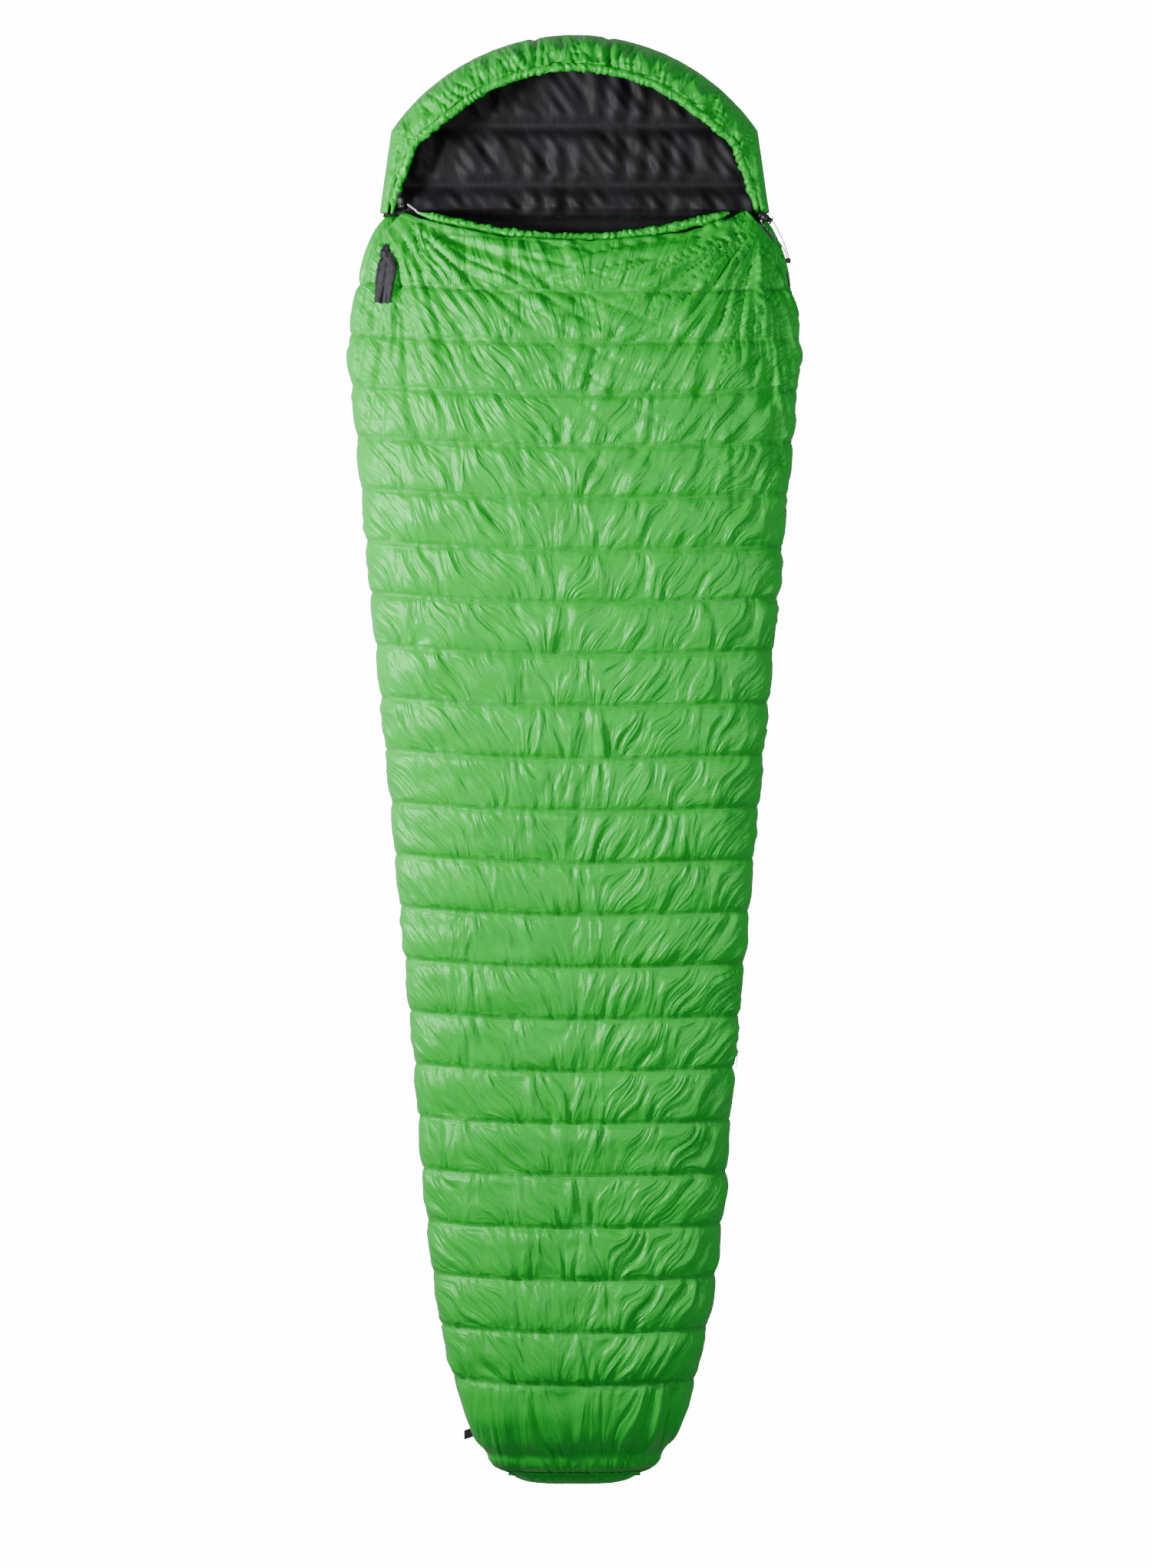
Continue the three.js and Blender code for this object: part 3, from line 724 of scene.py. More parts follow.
@dataclass(frozen=True)
class BagForm:
    """Outline, loft and channels that every sub-assembly follows, in millimetres."""

    half_length: float = 1050.0
    seam_z: float = 68.0
    touch: float = 0.3
    wall: float = 46.0
    side_wall: float = 30.0
    shoulder_x: float = 18.0
    shoulder_y: float = 594.0
    shoulder_r: float = 310.0
    shoulder_end: float = 565.0
    taper: float = 0.0936
    zip_end: float = -434.0
    foot_cap: float = -1003.0
    neck: float = 790.0
    neck_flare: float = 22.0
    collar_dip: float = 45.0
    zip_half: float = 16.0
    flat_share: float = 0.6
    first_seam: float = 674.0
    pitch: float = 74.83
    channels: int = 21
    end_seam: float = -1038.0
    foot_outline: tuple = ((-434, 233), (-600, 221), (-767, 203), (-900, 175), (-975, 148), (-1003, 126))
    loft_knots: tuple = ((790, 118), (700, 145), (600, 160), (400, 168), (0, 160), (-400, 152), (-700, 160),
                         (-850, 168), (-950, 158), (-1003, 128))

    def half_width(self, y: Array) -> Array:
        """Half width of the bag at y, which the zip follows."""
        y = np.asarray(y, float)
        top = np.clip(y, self.shoulder_end, self.shoulder_y + self.shoulder_r - 1)
        arc = self.shoulder_x + np.sqrt(self.shoulder_r**2 - (top - self.shoulder_y) ** 2)
        straight = arc - self.taper * (self.shoulder_end - np.minimum(y, self.shoulder_end))
        places, widths = knot_table(self.foot_outline)
        return np.where(y >= self.zip_end, straight, np.interp(y, places, widths))

    def loft(self, y: Array) -> Array:
        """Height of the front above the floor at y."""
        places, heights = knot_table(self.loft_knots)
        return np.interp(y, places, heights)

    def zip_lift(self, y: Array) -> Array:
        """How far each quilt's edge stands off the zip's line."""
        return self.zip_half * smooth((y - (self.zip_end - 36)) / 36)

    def foot_share(self, y: Array) -> Array:
        """How far the section has shrunk beyond the foot's cap, 1 before it."""
        reach = self.half_length + self.foot_cap - 2 * self.touch
        past = np.clip((self.foot_cap - y) / reach, 0.0, 0.995)
        return (1 - past**2.5) ** 0.4

    def seam_rise(self, v: Array, c: Array) -> Array:
        """How far a seam's ends rise towards the head, more on the left."""
        upper = smooth((v + 900.0) / 1300.0)
        left, right = mix(7.0, 18.0, upper), mix(3.0, 9.0, upper)
        return np.where(c < 0, left, right) * c * c

    @property
    def last_seam(self) -> float:
        """Place along the bag of the seam nearest the foot."""
        return self.first_seam - self.pitch * self.channels

    def rows_down(self, per_channel: int, above: int, below: int, step: int) -> Array:
        """Rows from the neck to the foot's end seam, with one on each seam.

        Args:
            per_channel: Rows to a channel.
            above: Rows from the neck to the first seam.
            below: Rows from the last seam to the end seam, less what step takes.
            step: What the number of gaps between rows has to divide by.

        Returns:
            The rows, falling from the neck.
        """
        top = np.linspace(self.neck, self.first_seam, above)[:-1]
        middle = np.linspace(self.first_seam, self.last_seam, self.channels * per_channel + 1)[:-1]
        left = (len(top) + len(middle)) % step
        return np.concatenate([top, middle, np.linspace(self.last_seam, self.end_seam, below - left)])

    def seam_rows(self, rows: Array) -> list[int]:
        """Number of the row that lies on each seam."""
        seams = [self.first_seam - self.pitch * k for k in range(self.channels + 1)]
        return [int(np.argmin(np.abs(rows - seam))) for seam in seams]

    def row_y(self, v: Array, c: Array, dip: float) -> Array:
        """Place along the bag of row v at a share c across.

        Args:
            v: The row, as its place along the middle of a bag with straight seams.
            c: Share across, from -1 to 1.
            dip: How far the neck's edge falls towards the foot at the middle.

        Returns:
            The place, which bends with the seams and the neck's edge.
        """
        row = v + self.seam_rise(v, c)
        edge = self.neck - dip * (1 - c * c)
        first = self.first_seam + self.seam_rise(np.asarray(self.first_seam), c)
        top = mix(first, edge, (v - self.first_seam) / (self.neck - self.first_seam))
        row = np.where(v > self.first_seam, top, row)
        fade = np.clip((v - self.foot_cap) / 90.0, 0.0, 1.0)
        return np.where(v < self.foot_cap + 90, v + (row - v) * fade, row)

    def channel_share(self, v: Array) -> Array:
        """Place across the channel at v, from 0 at one seam to 1 at the next."""
        last = self.last_seam
        inside = (self.first_seam - v) / self.pitch
        top = (self.neck - v) / (self.neck - self.first_seam)
        foot = np.clip((last - v) / 140.0, 0.0, 1.0)
        number = np.floor(np.minimum(inside, self.channels - 1e-9))
        share = np.where(v > self.first_seam, top, inside - number)
        return np.where(v < last, foot, share)

    def puff(self, v: Array) -> Array:
        """Rounded rise of the channel at v: 0 on its seams and 1 at its middle."""
        share = np.clip(self.channel_share(v), 0.0, 1.0)
        return (1 - np.abs(2 * share - 1) ** 2.3) ** 0.62

    def seam_nearness(self, v: Array) -> Array:
        """1 on a seam, falling away within a few millimetres."""
        share = np.clip(self.channel_share(v), 0.0, 1.0)
        gap = np.minimum(share, 1 - share) * self.pitch
        return np.exp(-((gap / 3.0) ** 2))


@dataclass(frozen=True)
class Profile:
    """Half of a quilt's cross section with even spacing along it.

    Attributes:
        power: How square the section is.
        tuck: Width and height of the turn that goes in under its widest place to the seam.
        flat: Share of the half width that lies flat.
        span: Half width and height that the spacing is worked out for.
    """

    power: float
    tuck: tuple[float, float]
    flat: float = 0.0
    span: tuple[float, float] = (300.0, 84.0)

    def spread(self, shares: Array) -> tuple[Array, Array, Array]:
        """Across share, height share and tuck angle for shares from -1 to 1 of the section's length."""
        near_edge = 1 - 0.1 * (1 - np.linspace(0.0, 1.0, 400)[1:]) ** 3
        c = np.concatenate([np.linspace(0.0, 0.9, 200), near_edge])
        turn = np.clip((c - self.flat) / (1 - self.flat), 0.0, 1.0)
        rise = (1 - turn**self.power) ** (1 / self.power)
        angle = np.linspace(0.0, np.pi / 2, 30)[1:]
        x = np.concatenate([c * self.span[0], self.span[0] - self.tuck[0] * (1 - np.cos(angle))])
        z = np.concatenate([rise * self.span[1], -self.tuck[1] * np.sin(angle)])
        along = np.concatenate([[0.0], np.cumsum(np.hypot(np.diff(x), np.diff(z)))])
        wanted = np.abs(shares) * along[-1]
        c_all = np.concatenate([c, np.ones(len(angle))])
        rise_all = np.concatenate([rise, np.zeros(len(angle))])
        angle_all = np.concatenate([np.zeros(len(c)), angle])
        across = np.interp(wanted, along, c_all) * np.sign(shares)
        return across, np.interp(wanted, along, rise_all), np.interp(wanted, along, angle_all)


def normals_of(grid: Array) -> Array:
    """Unit normals of a grid of points, rows by columns."""
    along, across = np.gradient(grid, axis=0), np.gradient(grid, axis=1)
    n = np.cross(across, along)
    return n / np.maximum(np.linalg.norm(n, axis=2, keepdims=True), 1e-9)


def cloth_uv(grid: Array) -> Array:
    """Cloth coordinates in metres: the mean distance across, and the distance along, of each point."""
    across = np.linalg.norm(np.diff(grid, axis=1), axis=2)
    u = np.concatenate([np.zeros((len(grid), 1)), np.cumsum(across, axis=1)], axis=1)
    u -= u[:, [u.shape[1] // 2]]
    along = np.linalg.norm(np.diff(grid, axis=0), axis=2).mean(axis=1)
    v = np.concatenate([[0.0], np.cumsum(along)])
    return np.stack([u, np.broadcast_to(v[:, None], u.shape)], axis=2) * MM


@dataclass(frozen=True)
class Billow:
    """Cloth simulation that lets a sewn sheet swell and buckle between its pinned seams.

    Attributes:
        frames: How many frames are run.
        pressure: Pressure on the sheet from inside.
        excess: How much longer the cloth is across than the gap that it spans.
        cap: The furthest that a point may move, in millimetres.
    """

    frames: int = 9
    pressure: float = 1.6
    excess: float = 0.1
    cap: float = 9.0

    def run(self, name: str, grid: Array, pinned: Array) -> Array:
        """Runs the simulation on a grid.

        Args:
            name: Name for the working object.
            grid: Points in millimetres, rows by columns.
            pinned: True where a point is sewn down.

        Returns:
            The grid as it has settled.
        """
        rows, cols = grid.shape[:2]
        sheet = make_object(name, grid.reshape(-1, 3), grid_faces(rows, cols))
        sheet.shape_key_add(name="sewn")
        slack = sheet.shape_key_add(name="slack")
        flat = grid.reshape(-1, 3) * MM
        loose = flat.copy()
        half = max(1e-6, float(np.abs(flat[:, 0]).max()))
        loose[:, 0] *= 1 + self.excess
        loose[:, 1] -= self.excess * 0.35 * flat[:, 0] ** 2 / half
        slack.data.foreach_set("co", loose.astype(np.float32).ravel())
        group = sheet.vertex_groups.new(name="sewn_down")
        group.add(np.flatnonzero(pinned.ravel()).tolist(), 1.0, "REPLACE")
        cloth = sheet.modifiers.new("billow", "CLOTH")
        use = cloth.settings
        use.quality, use.mass, use.air_damping = 4, 0.04, 6.0
        use.tension_stiffness = use.compression_stiffness = 14.0
        use.shear_stiffness, use.bending_stiffness = 4.0, 0.06
        use.vertex_group_mass, use.pin_stiffness = "sewn_down", 1.0
        use.rest_shape_key = slack
        use.use_pressure, use.uniform_pressure_force = True, self.pressure
        use.effector_weights.gravity = 0.0
        cloth.collision_settings.use_collision = False
        cloth.point_cache.frame_start, cloth.point_cache.frame_end = 1, self.frames
        scene = bpy.context.scene
        for step in range(1, self.frames + 1):
            scene.frame_set(step)
        settled = evaluated_mesh(sheet, name + "_settled")
        moved = np.empty(len(settled.vertices) * 3, np.float32)
        settled.vertices.foreach_get("co", moved)
        scene.frame_set(1)
        bpy.data.objects.remove(sheet)
        bpy.data.meshes.remove(settled)
        shift = moved.reshape(rows, cols, 3).astype(float) / MM - grid
        reach = np.maximum(np.linalg.norm(shift, axis=2, keepdims=True), 1e-9)
        LOG.info("%s: moved %.2f mm on average, %.2f at most", name, reach.mean(), reach.max())
        return grid + shift * np.minimum(1.0, self.cap / reach)


LINING_DEPTHS = (0.955, 0.995)


def bend_with_corner(obj: bpy.types.Object) -> None:
    """Bakes the placement of a piece of the front into its mesh."""
    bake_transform(obj)


def bend_with_hood(obj: bpy.types.Object) -> None:
    """Bakes the placement of a piece of the hood into its mesh."""
    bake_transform(obj)


def add_seam_mark(obj: bpy.types.Object, nearness: Array, creased: Array | None = None) -> None:
    """Stores what the shell's finish needs at the first points of a piece.

    Args:
        obj: The piece.
        nearness: How near each point is to a seam, from 0 to 1.
        creased: Place of each point across and along its creases, in millimetres, or its own place.
    """
    count = len(obj.data.vertices)
    mark = obj.data.attributes.new("seam", "FLOAT", "POINT")
    values = np.zeros(count, np.float32)
    values[: nearness.size] = nearness.ravel()
    mark.data.foreach_set("value", values)
    places = np.empty(count * 3, np.float32)
    obj.data.vertices.foreach_get("co", places)
    places = places.reshape(-1, 3)
    if creased is not None:
        places[: creased.size // 3] = creased.reshape(-1, 3) * MM
    fold = obj.data.attributes.new("crease_place", "FLOAT_VECTOR", "POINT")
    fold.data.foreach_set("vector", places.ravel())


# ---------------------------------------- stitches
@dataclass(frozen=True)
class StitchRun:
    """Geometry Nodes tree that sews stitches along paths.

    Attributes:
        pitch: Distance between stitches, in millimetres.
        length: Length of a stitch.
        thick: Thickness of the thread.
    """

    pitch: float = 4.2
    length: float = 3.0
    thick: float = 0.7

    def tree(self) -> bpy.types.GeometryNodeTree:
        """The node tree, made once."""
        found = bpy.data.node_groups.get("stitches")
        if found:
            return found
        tree = bpy.data.node_groups.new("stitches", "GeometryNodeTree")
        face = tree.interface
        face.new_socket("Paths", in_out="INPUT", socket_type="NodeSocketGeometry")
        for label in ("Pitch", "Length", "Thickness"):
            face.new_socket(label, in_out="INPUT", socket_type="NodeSocketFloat")
        face.new_socket("Thread", in_out="INPUT", socket_type="NodeSocketMaterial")
        face.new_socket("Stitches", in_out="OUTPUT", socket_type="NodeSocketGeometry")
        graph = Graph(tree)
        given = graph.make("NodeGroupInput").socket.node.outputs
        paths, pitch, length, thick, thread = (Signal(graph, given[k]) for k in range(5))
        curve = graph.make("GeometryNodeMeshToCurve", None, {0: paths})
        spaced = graph.make("GeometryNodeResampleCurve", {"mode": "LENGTH"}, {0: curve, "Length": pitch})
        tangent = graph.make("GeometryNodeInputTangent")
        turned = graph.make("FunctionNodeAlignRotationToVector", {"axis": "X"}, {"Vector": tangent})
        size = graph.make("ShaderNodeCombineXYZ", None, {0: length, 1: thick, 2: thick})
        stitch = graph.make("GeometryNodeMeshCube", None, {"Size": size})
        soft = graph.make("GeometryNodeSetShadeSmooth", None, {0: stitch})
        spots = {"Points": spaced, "Instance": soft, "Rotation": turned}
        placed = graph.make("GeometryNodeInstanceOnPoints", None, spots)
        whole = graph.make("GeometryNodeRealizeInstances", None, {0: placed})
        dressed = graph.make("GeometryNodeSetMaterial", None, {0: whole, "Material": thread})
        graph.make("NodeGroupOutput", None, {0: dressed})
        return tree

    def sew(self, name: str, paths: Sequence[Array], finish: Finish) -> bpy.types.Object:
        """Stitches along paths, in millimetres, as one plain mesh.

        Args:
            name: The piece's name.
            paths: Lines of points that the stitches follow.
            finish: The thread's finish.

        Returns:
            The piece.
        """
        values = {"Pitch": self.pitch * MM, "Length": self.length * MM, "Thickness": self.thick * MM,
                  "Thread": finish.material()}
        return run_tree(name, paths, self.tree(), values)


# ---------------------------------------- quilts
@dataclass
class FrontQuilt:
    """The bag's front: sewn channels of down over the sleeper, from the collar to the foot.

    Attributes:
        valley: How far a seam lies below the smooth surface.
        crest: How far a channel's middle stands above it.
        edge_reach: How far the neck's edge reaches past the form's own.
        step: Cells of the outer face to one of the inner.
        depth: Share of the wall at which the inner face lies.
        fans: Place, seed and height of the creases that spread from each neck corner.
        surface: The outer face as built.
        rows: Its rows.
    """

    form: BagForm
    profile: Profile = Profile(power=3.0, tuck=(9.0, 12.0))
    billow: Billow = Billow()
    rows_per_channel: int = 17
    columns: int = 200
    valley: float = 6.5
    crest: float = 2.0
    edge_reach: float = 7.0
    step: int = 5
    depth: float = 0.88
    fans: tuple = ((-262.0, 792.0, 1, 10.0), (268.0, 778.0, 2, 10.5))
    surface: Array = field(init=False, repr=False)
    rows: Array = field(init=False, repr=False)

    def base(self, v: Array, shares: Array) -> tuple[Array, Array]:
        """The front's smooth surface and the share across of its points."""
        form = self.form
        c, rise, angle = self.profile.spread(shares)
        y = form.row_y(v[:, None], c[None], form.collar_dip)
        y = y + self.edge_reach * smooth((v[:, None] - 730.0) / 60.0)
        shrink = form.foot_share(y)
        capped = np.maximum(y, form.foot_cap)
        side, top = form.half_width(capped), form.loft(capped)
        seam = form.seam_z + form.touch / 2 + form.zip_lift(capped) * (1 + c) / 2
        width, height = self.profile.tuck
        foot = seam + height
        x = (side * c - np.sign(c) * width * (1 - np.cos(angle))) * shrink
        z = foot + (top - foot) * rise - height * np.sin(angle)
        middle = form.loft(np.asarray(form.foot_cap)) / 2
        z = np.where(y < form.foot_cap, middle + (z - middle) * shrink, z)
        return np.stack([x, y, z], axis=2), c

    def relief(self, v: Array, grid: Array, c: Array) -> Array:
        """How far each point stands out from the smooth surface: channels, edge roll, folds and puckers."""
        form, x, y = self.form, grid[..., 0], grid[..., 1]
        puff = form.puff(v)[:, None]
        uneven = 1 + 0.16 * Ripple(5, 170.0).at(x, y) + 0.1 * Ripple(6, 60.0).at(x, y)
        lift = -self.valley + (self.valley + self.crest) * puff * uneven
        to_edge = smooth((v - (form.neck - 38.0)) / 38.0)[:, None]
        lift = mix(lift, -7.0, to_edge)
        foot_roll = np.clip((-960.0 - v) / 78.0, 0.0, 1.0)[:, None]
        lift -= 5.0 * foot_roll**3
        share = form.channel_share(v)[:, None]
        from_seam = np.minimum(share, 1 - share) * form.pitch
        channel = self.channel_number(v)[:, None]
        lift += self.wrinkles(x, (0.5 - share) * form.pitch, from_seam, channel)
        for corner_x, corner_y, seed, height in self.fans:
            dx, dy = x - corner_x, y - corner_y
            reach, direction = np.hypot(dx, dy), np.arctan2(dy, dx)
            spread = Ripple(20 + seed, 26.0).at(direction * 150.0, reach * 0.10)
            crease = np.exp(-((Ripple(23 + seed, 22.0).at(direction * 150.0, reach * 0.07) / 0.2) ** 2))
            fade = np.exp(-((reach / 330.0) ** 1.8)) * smooth((reach - 8.0) / 50.0)
            lift += height * (0.34 * spread - 0.85 * crease + 0.12) * fade
        return lift * (1 - 0.5 * smooth((np.abs(c) - 0.97) / 0.03) * (np.abs(c) > 0.97))

    def wrinkles(self, x: Array, from_middle: Array, from_seam: Array, channel: Array) -> Array:
        """Long creases across each channel that slant down to the bag's middle, and short seam puckers.

        Args:
            x: Place across the bag.
            from_middle: Distance towards the head from the channel's middle line.
            from_seam: Distance from the nearer seam.
            channel: Number of the channel, which sets its own pattern.

        Returns:
            Height of the wrinkles in millimetres.
        """
        slant = self.slant(x, channel)
        across = x + slant * from_middle
        shift = channel * 371.0
        soft = Ripple(11, 25.0).at(across + shift, from_middle * 0.12 + shift)
        fine = Ripple(12, 13.0).at(across - shift, from_middle * 0.14 - shift)
        line = Ripple(13, 38.0).at(across + shift * 1.7, from_middle * 0.1)
        crease = np.exp(-((line / 0.24) ** 2))
        strength = 1.0 + 0.35 * Ripple(14, 150.0).at(x + shift, from_middle)
        hold = np.minimum(1.0, from_seam / 9.0 + 0.12)
        pucker = Ripple(15, 9.5).at(x + slant * from_middle * 0.5 + shift, from_middle * 0.15)
        near = np.exp(-from_seam / 13.0) * np.minimum(1.0, from_seam / 2.5 + 0.3)
        return strength * hold * (1.3 * soft + 1.0 * fine - 2.2 * crease + 0.4) + 1.3 * pucker * near

    def channel_number(self, v: Array) -> Array:
        """Number of the channel at v, counted from the first seam: -1 is the one at the collar."""
        return np.clip(np.floor((self.form.first_seam - v) / self.form.pitch), -1.0, self.form.channels)

    def crease_places(self, v: Array, x: Array) -> Array:
        """Place of each point across and along the creases, which lean down to the bag's middle."""
        form = self.form
        from_middle = ((0.5 - form.channel_share(v)) * form.pitch)[:, None]
        channel = self.channel_number(v)[:, None]
        across = x + self.slant(x, channel) * from_middle
        return np.stack(np.broadcast_arrays(across + channel * 97.0, from_middle, channel * 97.0), axis=2)

    def slant(self, x: Array, channel: Array) -> Array:
        """How far the creases lean for each millimetre along the bag, more or less by place."""
        return -0.8 * np.tanh(x / 120.0) + 0.42 * Ripple(16, 85.0).at(x + channel * 53.0, channel * 131.0)

    def inner(self, v: Array, cols: int, depth: float, margin: float = 0.0) -> Array:
        """The quilt's surface at a depth share, on a grid of rows v by cols."""
        form = self.form
        c = np.sin(np.linspace(-np.pi / 2, np.pi / 2, cols))
        y = form.row_y(v[:, None], c[None], form.collar_dip)
        y = y - margin * smooth((v[:, None] - 700.0) / 90.0)
        shrink = form.foot_share(y) - 0.06 * (y < form.foot_cap)
        capped = np.maximum(y, form.foot_cap)
        side, top = form.half_width(capped), form.loft(capped)
        seam = form.seam_z + form.touch / 2 + form.zip_lift(capped) * (1 + c) / 2
        rise = np.maximum(0.0, 1 - np.abs(c) ** 3) ** (1 / 3)
        z = seam + (top - seam - form.wall * depth) * rise
        return np.stack([(side - form.side_wall * depth) * c * shrink, y, z], axis=2)

    def build(self) -> None:
        """Makes the quilt, its lining and the seams' stitches."""
        form = self.form
        self.rows = v = form.rows_down(self.rows_per_channel, 25, 31, self.step)
        grid, c = self.base(v, np.linspace(-1.0, 1.0, self.columns + 1))
        normal = normals_of(grid)
        normal *= np.sign(normal[len(v) // 2, self.columns // 2, 2])
        lift = self.relief(v, grid, c)
        creased = self.crease_places(v, grid[..., 0])
        grid = grid + normal * lift[..., None]
        nearness = form.seam_nearness(v)
        pinned = np.zeros(grid.shape[:2], bool)
        pinned[nearness > 0.98] = True
        pinned[[0, -1]] = True
        pinned[:, [0, -1]] = True
        grid = self.billow.run("front_billow", grid, pinned)
        self.surface = grid
        rows = len(v)
        coarse = v[:: self.step]
        back = self.inner(coarse, self.columns // self.step + 1, self.depth)
        assert (rows - 1) % self.step == 0, "rows have to divide into the inner grid"
        quilt = pad_object("front_quilt", grid, back, cloth_uv(grid))
        add_seam_mark(quilt, np.broadcast_to(nearness[:, None], grid.shape[:2]), creased)
        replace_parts(NYLON.dress(quilt), "front_shell", "front_down", "flap_shell", "flap_down")
        bend_with_corner(quilt)
        self.build_lining()
        self.build_stitches()
        LOG.info("front quilt: %d points, %d seams", grid.shape[0] * grid.shape[1], form.channels + 1)

    def build_lining(self) -> None:
        """The black lining under the front, which shows when the corner is folded back."""
        v = np.linspace(self.form.neck, self.form.foot_cap, 141)
        near, far = (self.inner(v, 61, depth, 2.0) for depth in LINING_DEPTHS)
        waves = 2.2 * Ripple(31, 70.0).at(far[..., 0], far[..., 1]) * (1 - np.linspace(-1, 1, 61)[None] ** 8)
        far[..., 2] -= np.abs(waves) * 0.8
        lining = pad_object("front_lining", far, near)
        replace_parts(LINING.dress(lining), "front_liner", "flap_liner")
        bend_with_corner(lining)

    def build_stitches(self) -> None:
        """Stitches along each channel seam."""
        above = np.array([0.0, 0.0, 0.35])
        paths = [self.surface[row, 4:-4] + above for row in self.form.seam_rows(self.rows)]
        sewn = StitchRun().sew("front_stitches", paths, THREAD)
        bend_with_corner(sewn)


@dataclass
class BackQuilt:
    """The bag's back: the same channels, flat where they rest on the floor.

    Attributes:
        valley: How far a seam lies inside the smooth surface.
        crest: How far a channel's middle stands out of it.
        step: Cells of the outer face to one of the inner.
        depth: Share of the wall at which the inner face lies.
        surface: The outer face as built.
    """

    form: BagForm
    profile: Profile = Profile(power=2.2, tuck=(8.0, 9.0), flat=0.6, span=(300.0, 58.0))
    rows_per_channel: int = 9
    columns: int = 120
    valley: float = 9.0
    crest: float = 3.0
    step: int = 3
    depth: float = 0.93
    surface: Array = field(init=False, repr=False)

    def flare(self, y: Array) -> Array:
        """Extra half width of the back beside the neck."""
        form = self.form
        return form.neck_flare * np.maximum(0.0, (y - 640.0) / (form.neck - 640.0)) ** 1.6

    def base(self, v: Array, c: Array, rise: Array, angle: Array, depth: float = 0.0) -> Array:
        """The back's smooth surface at a depth share."""
        form = self.form
        y = form.row_y(v[:, None], c[None], 0.0)
        shrink = form.foot_share(y) - (0.06 * (y < form.foot_cap) if depth else 0.0)
        capped = np.maximum(y, form.foot_cap)
        side = form.half_width(capped) + self.flare(capped)
        seam = form.seam_z - form.touch / 2 - form.zip_lift(capped) * (1 + c) / 2
        width, height = self.profile.tuck if depth == 0 else (0.0, 0.0)
        head = seam - height
        x = ((side - form.side_wall * depth) * c - np.sign(c) * width * (1 - np.cos(angle))) * shrink
        z = head - (head - form.wall * depth) * rise + height * np.sin(angle)
        middle = form.loft(np.asarray(form.foot_cap)) / 2
        z = np.where(y < form.foot_cap, middle + (z - middle) * shrink, z)
        return np.stack([x, np.broadcast_to(y, x.shape), z], axis=2)

    def inner(self, v: Array, cols: int, depth: float) -> Array:
        """The quilt's surface at a depth share, on a grid of rows v by cols."""
        c = np.sin(np.linspace(-np.pi / 2, np.pi / 2, cols))
        turn = np.maximum(0.0, (np.abs(c) - self.form.flat_share) / (1 - self.form.flat_share))
        rise = (1 - turn**2.2) ** (1 / 2.2)
        return self.base(v, c, rise, np.zeros_like(c), depth)

    def build(self) -> None:
        """Makes the quilt, its lining and its stitches."""
        form = self.form
        v = form.rows_down(self.rows_per_channel, 16, 19, self.step)
        c, rise, angle = self.profile.spread(np.linspace(-1.0, 1.0, self.columns + 1))
        grid = self.base(v, c, rise, angle)
        normal = normals_of(grid)
        normal *= -np.sign(normal[len(v) // 2, self.columns // 2, 2])
        x, y = grid[..., 0], grid[..., 1]
        puff = form.puff(v)[:, None]
        lift = -self.valley + (self.valley + self.crest) * puff * (1 + 0.15 * Ripple(41, 120.0).at(x, y))
        share = form.channel_share(v)[:, None]
        from_seam = np.minimum(share, 1 - share) * form.pitch
        pucker = np.sin((x + 8.0 * Ripple(43, 100.0).at(x, y)) * 2 * np.pi / 23.0)
        lift += pucker * 1.6 * np.exp(-from_seam / 18.0) * np.minimum(1.0, from_seam / 8.0 + 0.2)
        lift *= 1 - 0.5 * smooth((np.abs(c) - 0.97) / 0.03)
        grid = grid + normal * lift[..., None]
        nearness = form.seam_nearness(v)
        grid[..., 2] = np.maximum(grid[..., 2], 0.4)
        self.surface = grid
        coarse = v[:: self.step]
        assert (len(v) - 1) % self.step == 0, "rows have to divide into the inner grid"
        behind = self.inner(coarse, self.columns // self.step + 1, self.depth)
        quilt = pad_object("back_quilt", grid, behind, cloth_uv(grid))
        add_seam_mark(quilt, np.broadcast_to(nearness[:, None], grid.shape[:2]))
        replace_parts(NYLON.dress(quilt), "back_shell", "back_down")
        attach(quilt, "bag")
        self.build_lining()
        paths = []
        for row in form.seam_rows(v):
            line = self.surface[row, 3:-3].copy()
            line[:, 2] = np.maximum(line[:, 2] - 0.2, 0.5)
            paths.append(line)
        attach(StitchRun(pitch=5.0, length=3.6).sew("back_stitches", paths, THREAD), "bag")
        LOG.info("back quilt: %d points", grid.shape[0] * grid.shape[1])

    def build_lining(self) -> None:
        """The black lining that the sleeper lies on, with soft folds."""
        v = np.linspace(self.form.neck, self.form.foot_cap, 141)
        near, far = (self.inner(v, 61, depth) for depth in LINING_DEPTHS)
        x, y = far[..., 0], far[..., 1]
        shape = 1 - np.abs(np.linspace(-1, 1, 61)[None]) ** 6
        far[..., 2] += shape * (2.4 * np.abs(Ripple(51, 60.0).at(x, y)))
        lining = pad_object("back_lining", far, near)
        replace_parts(LINING.dress(lining), "back_liner")
        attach(lining, "bag")


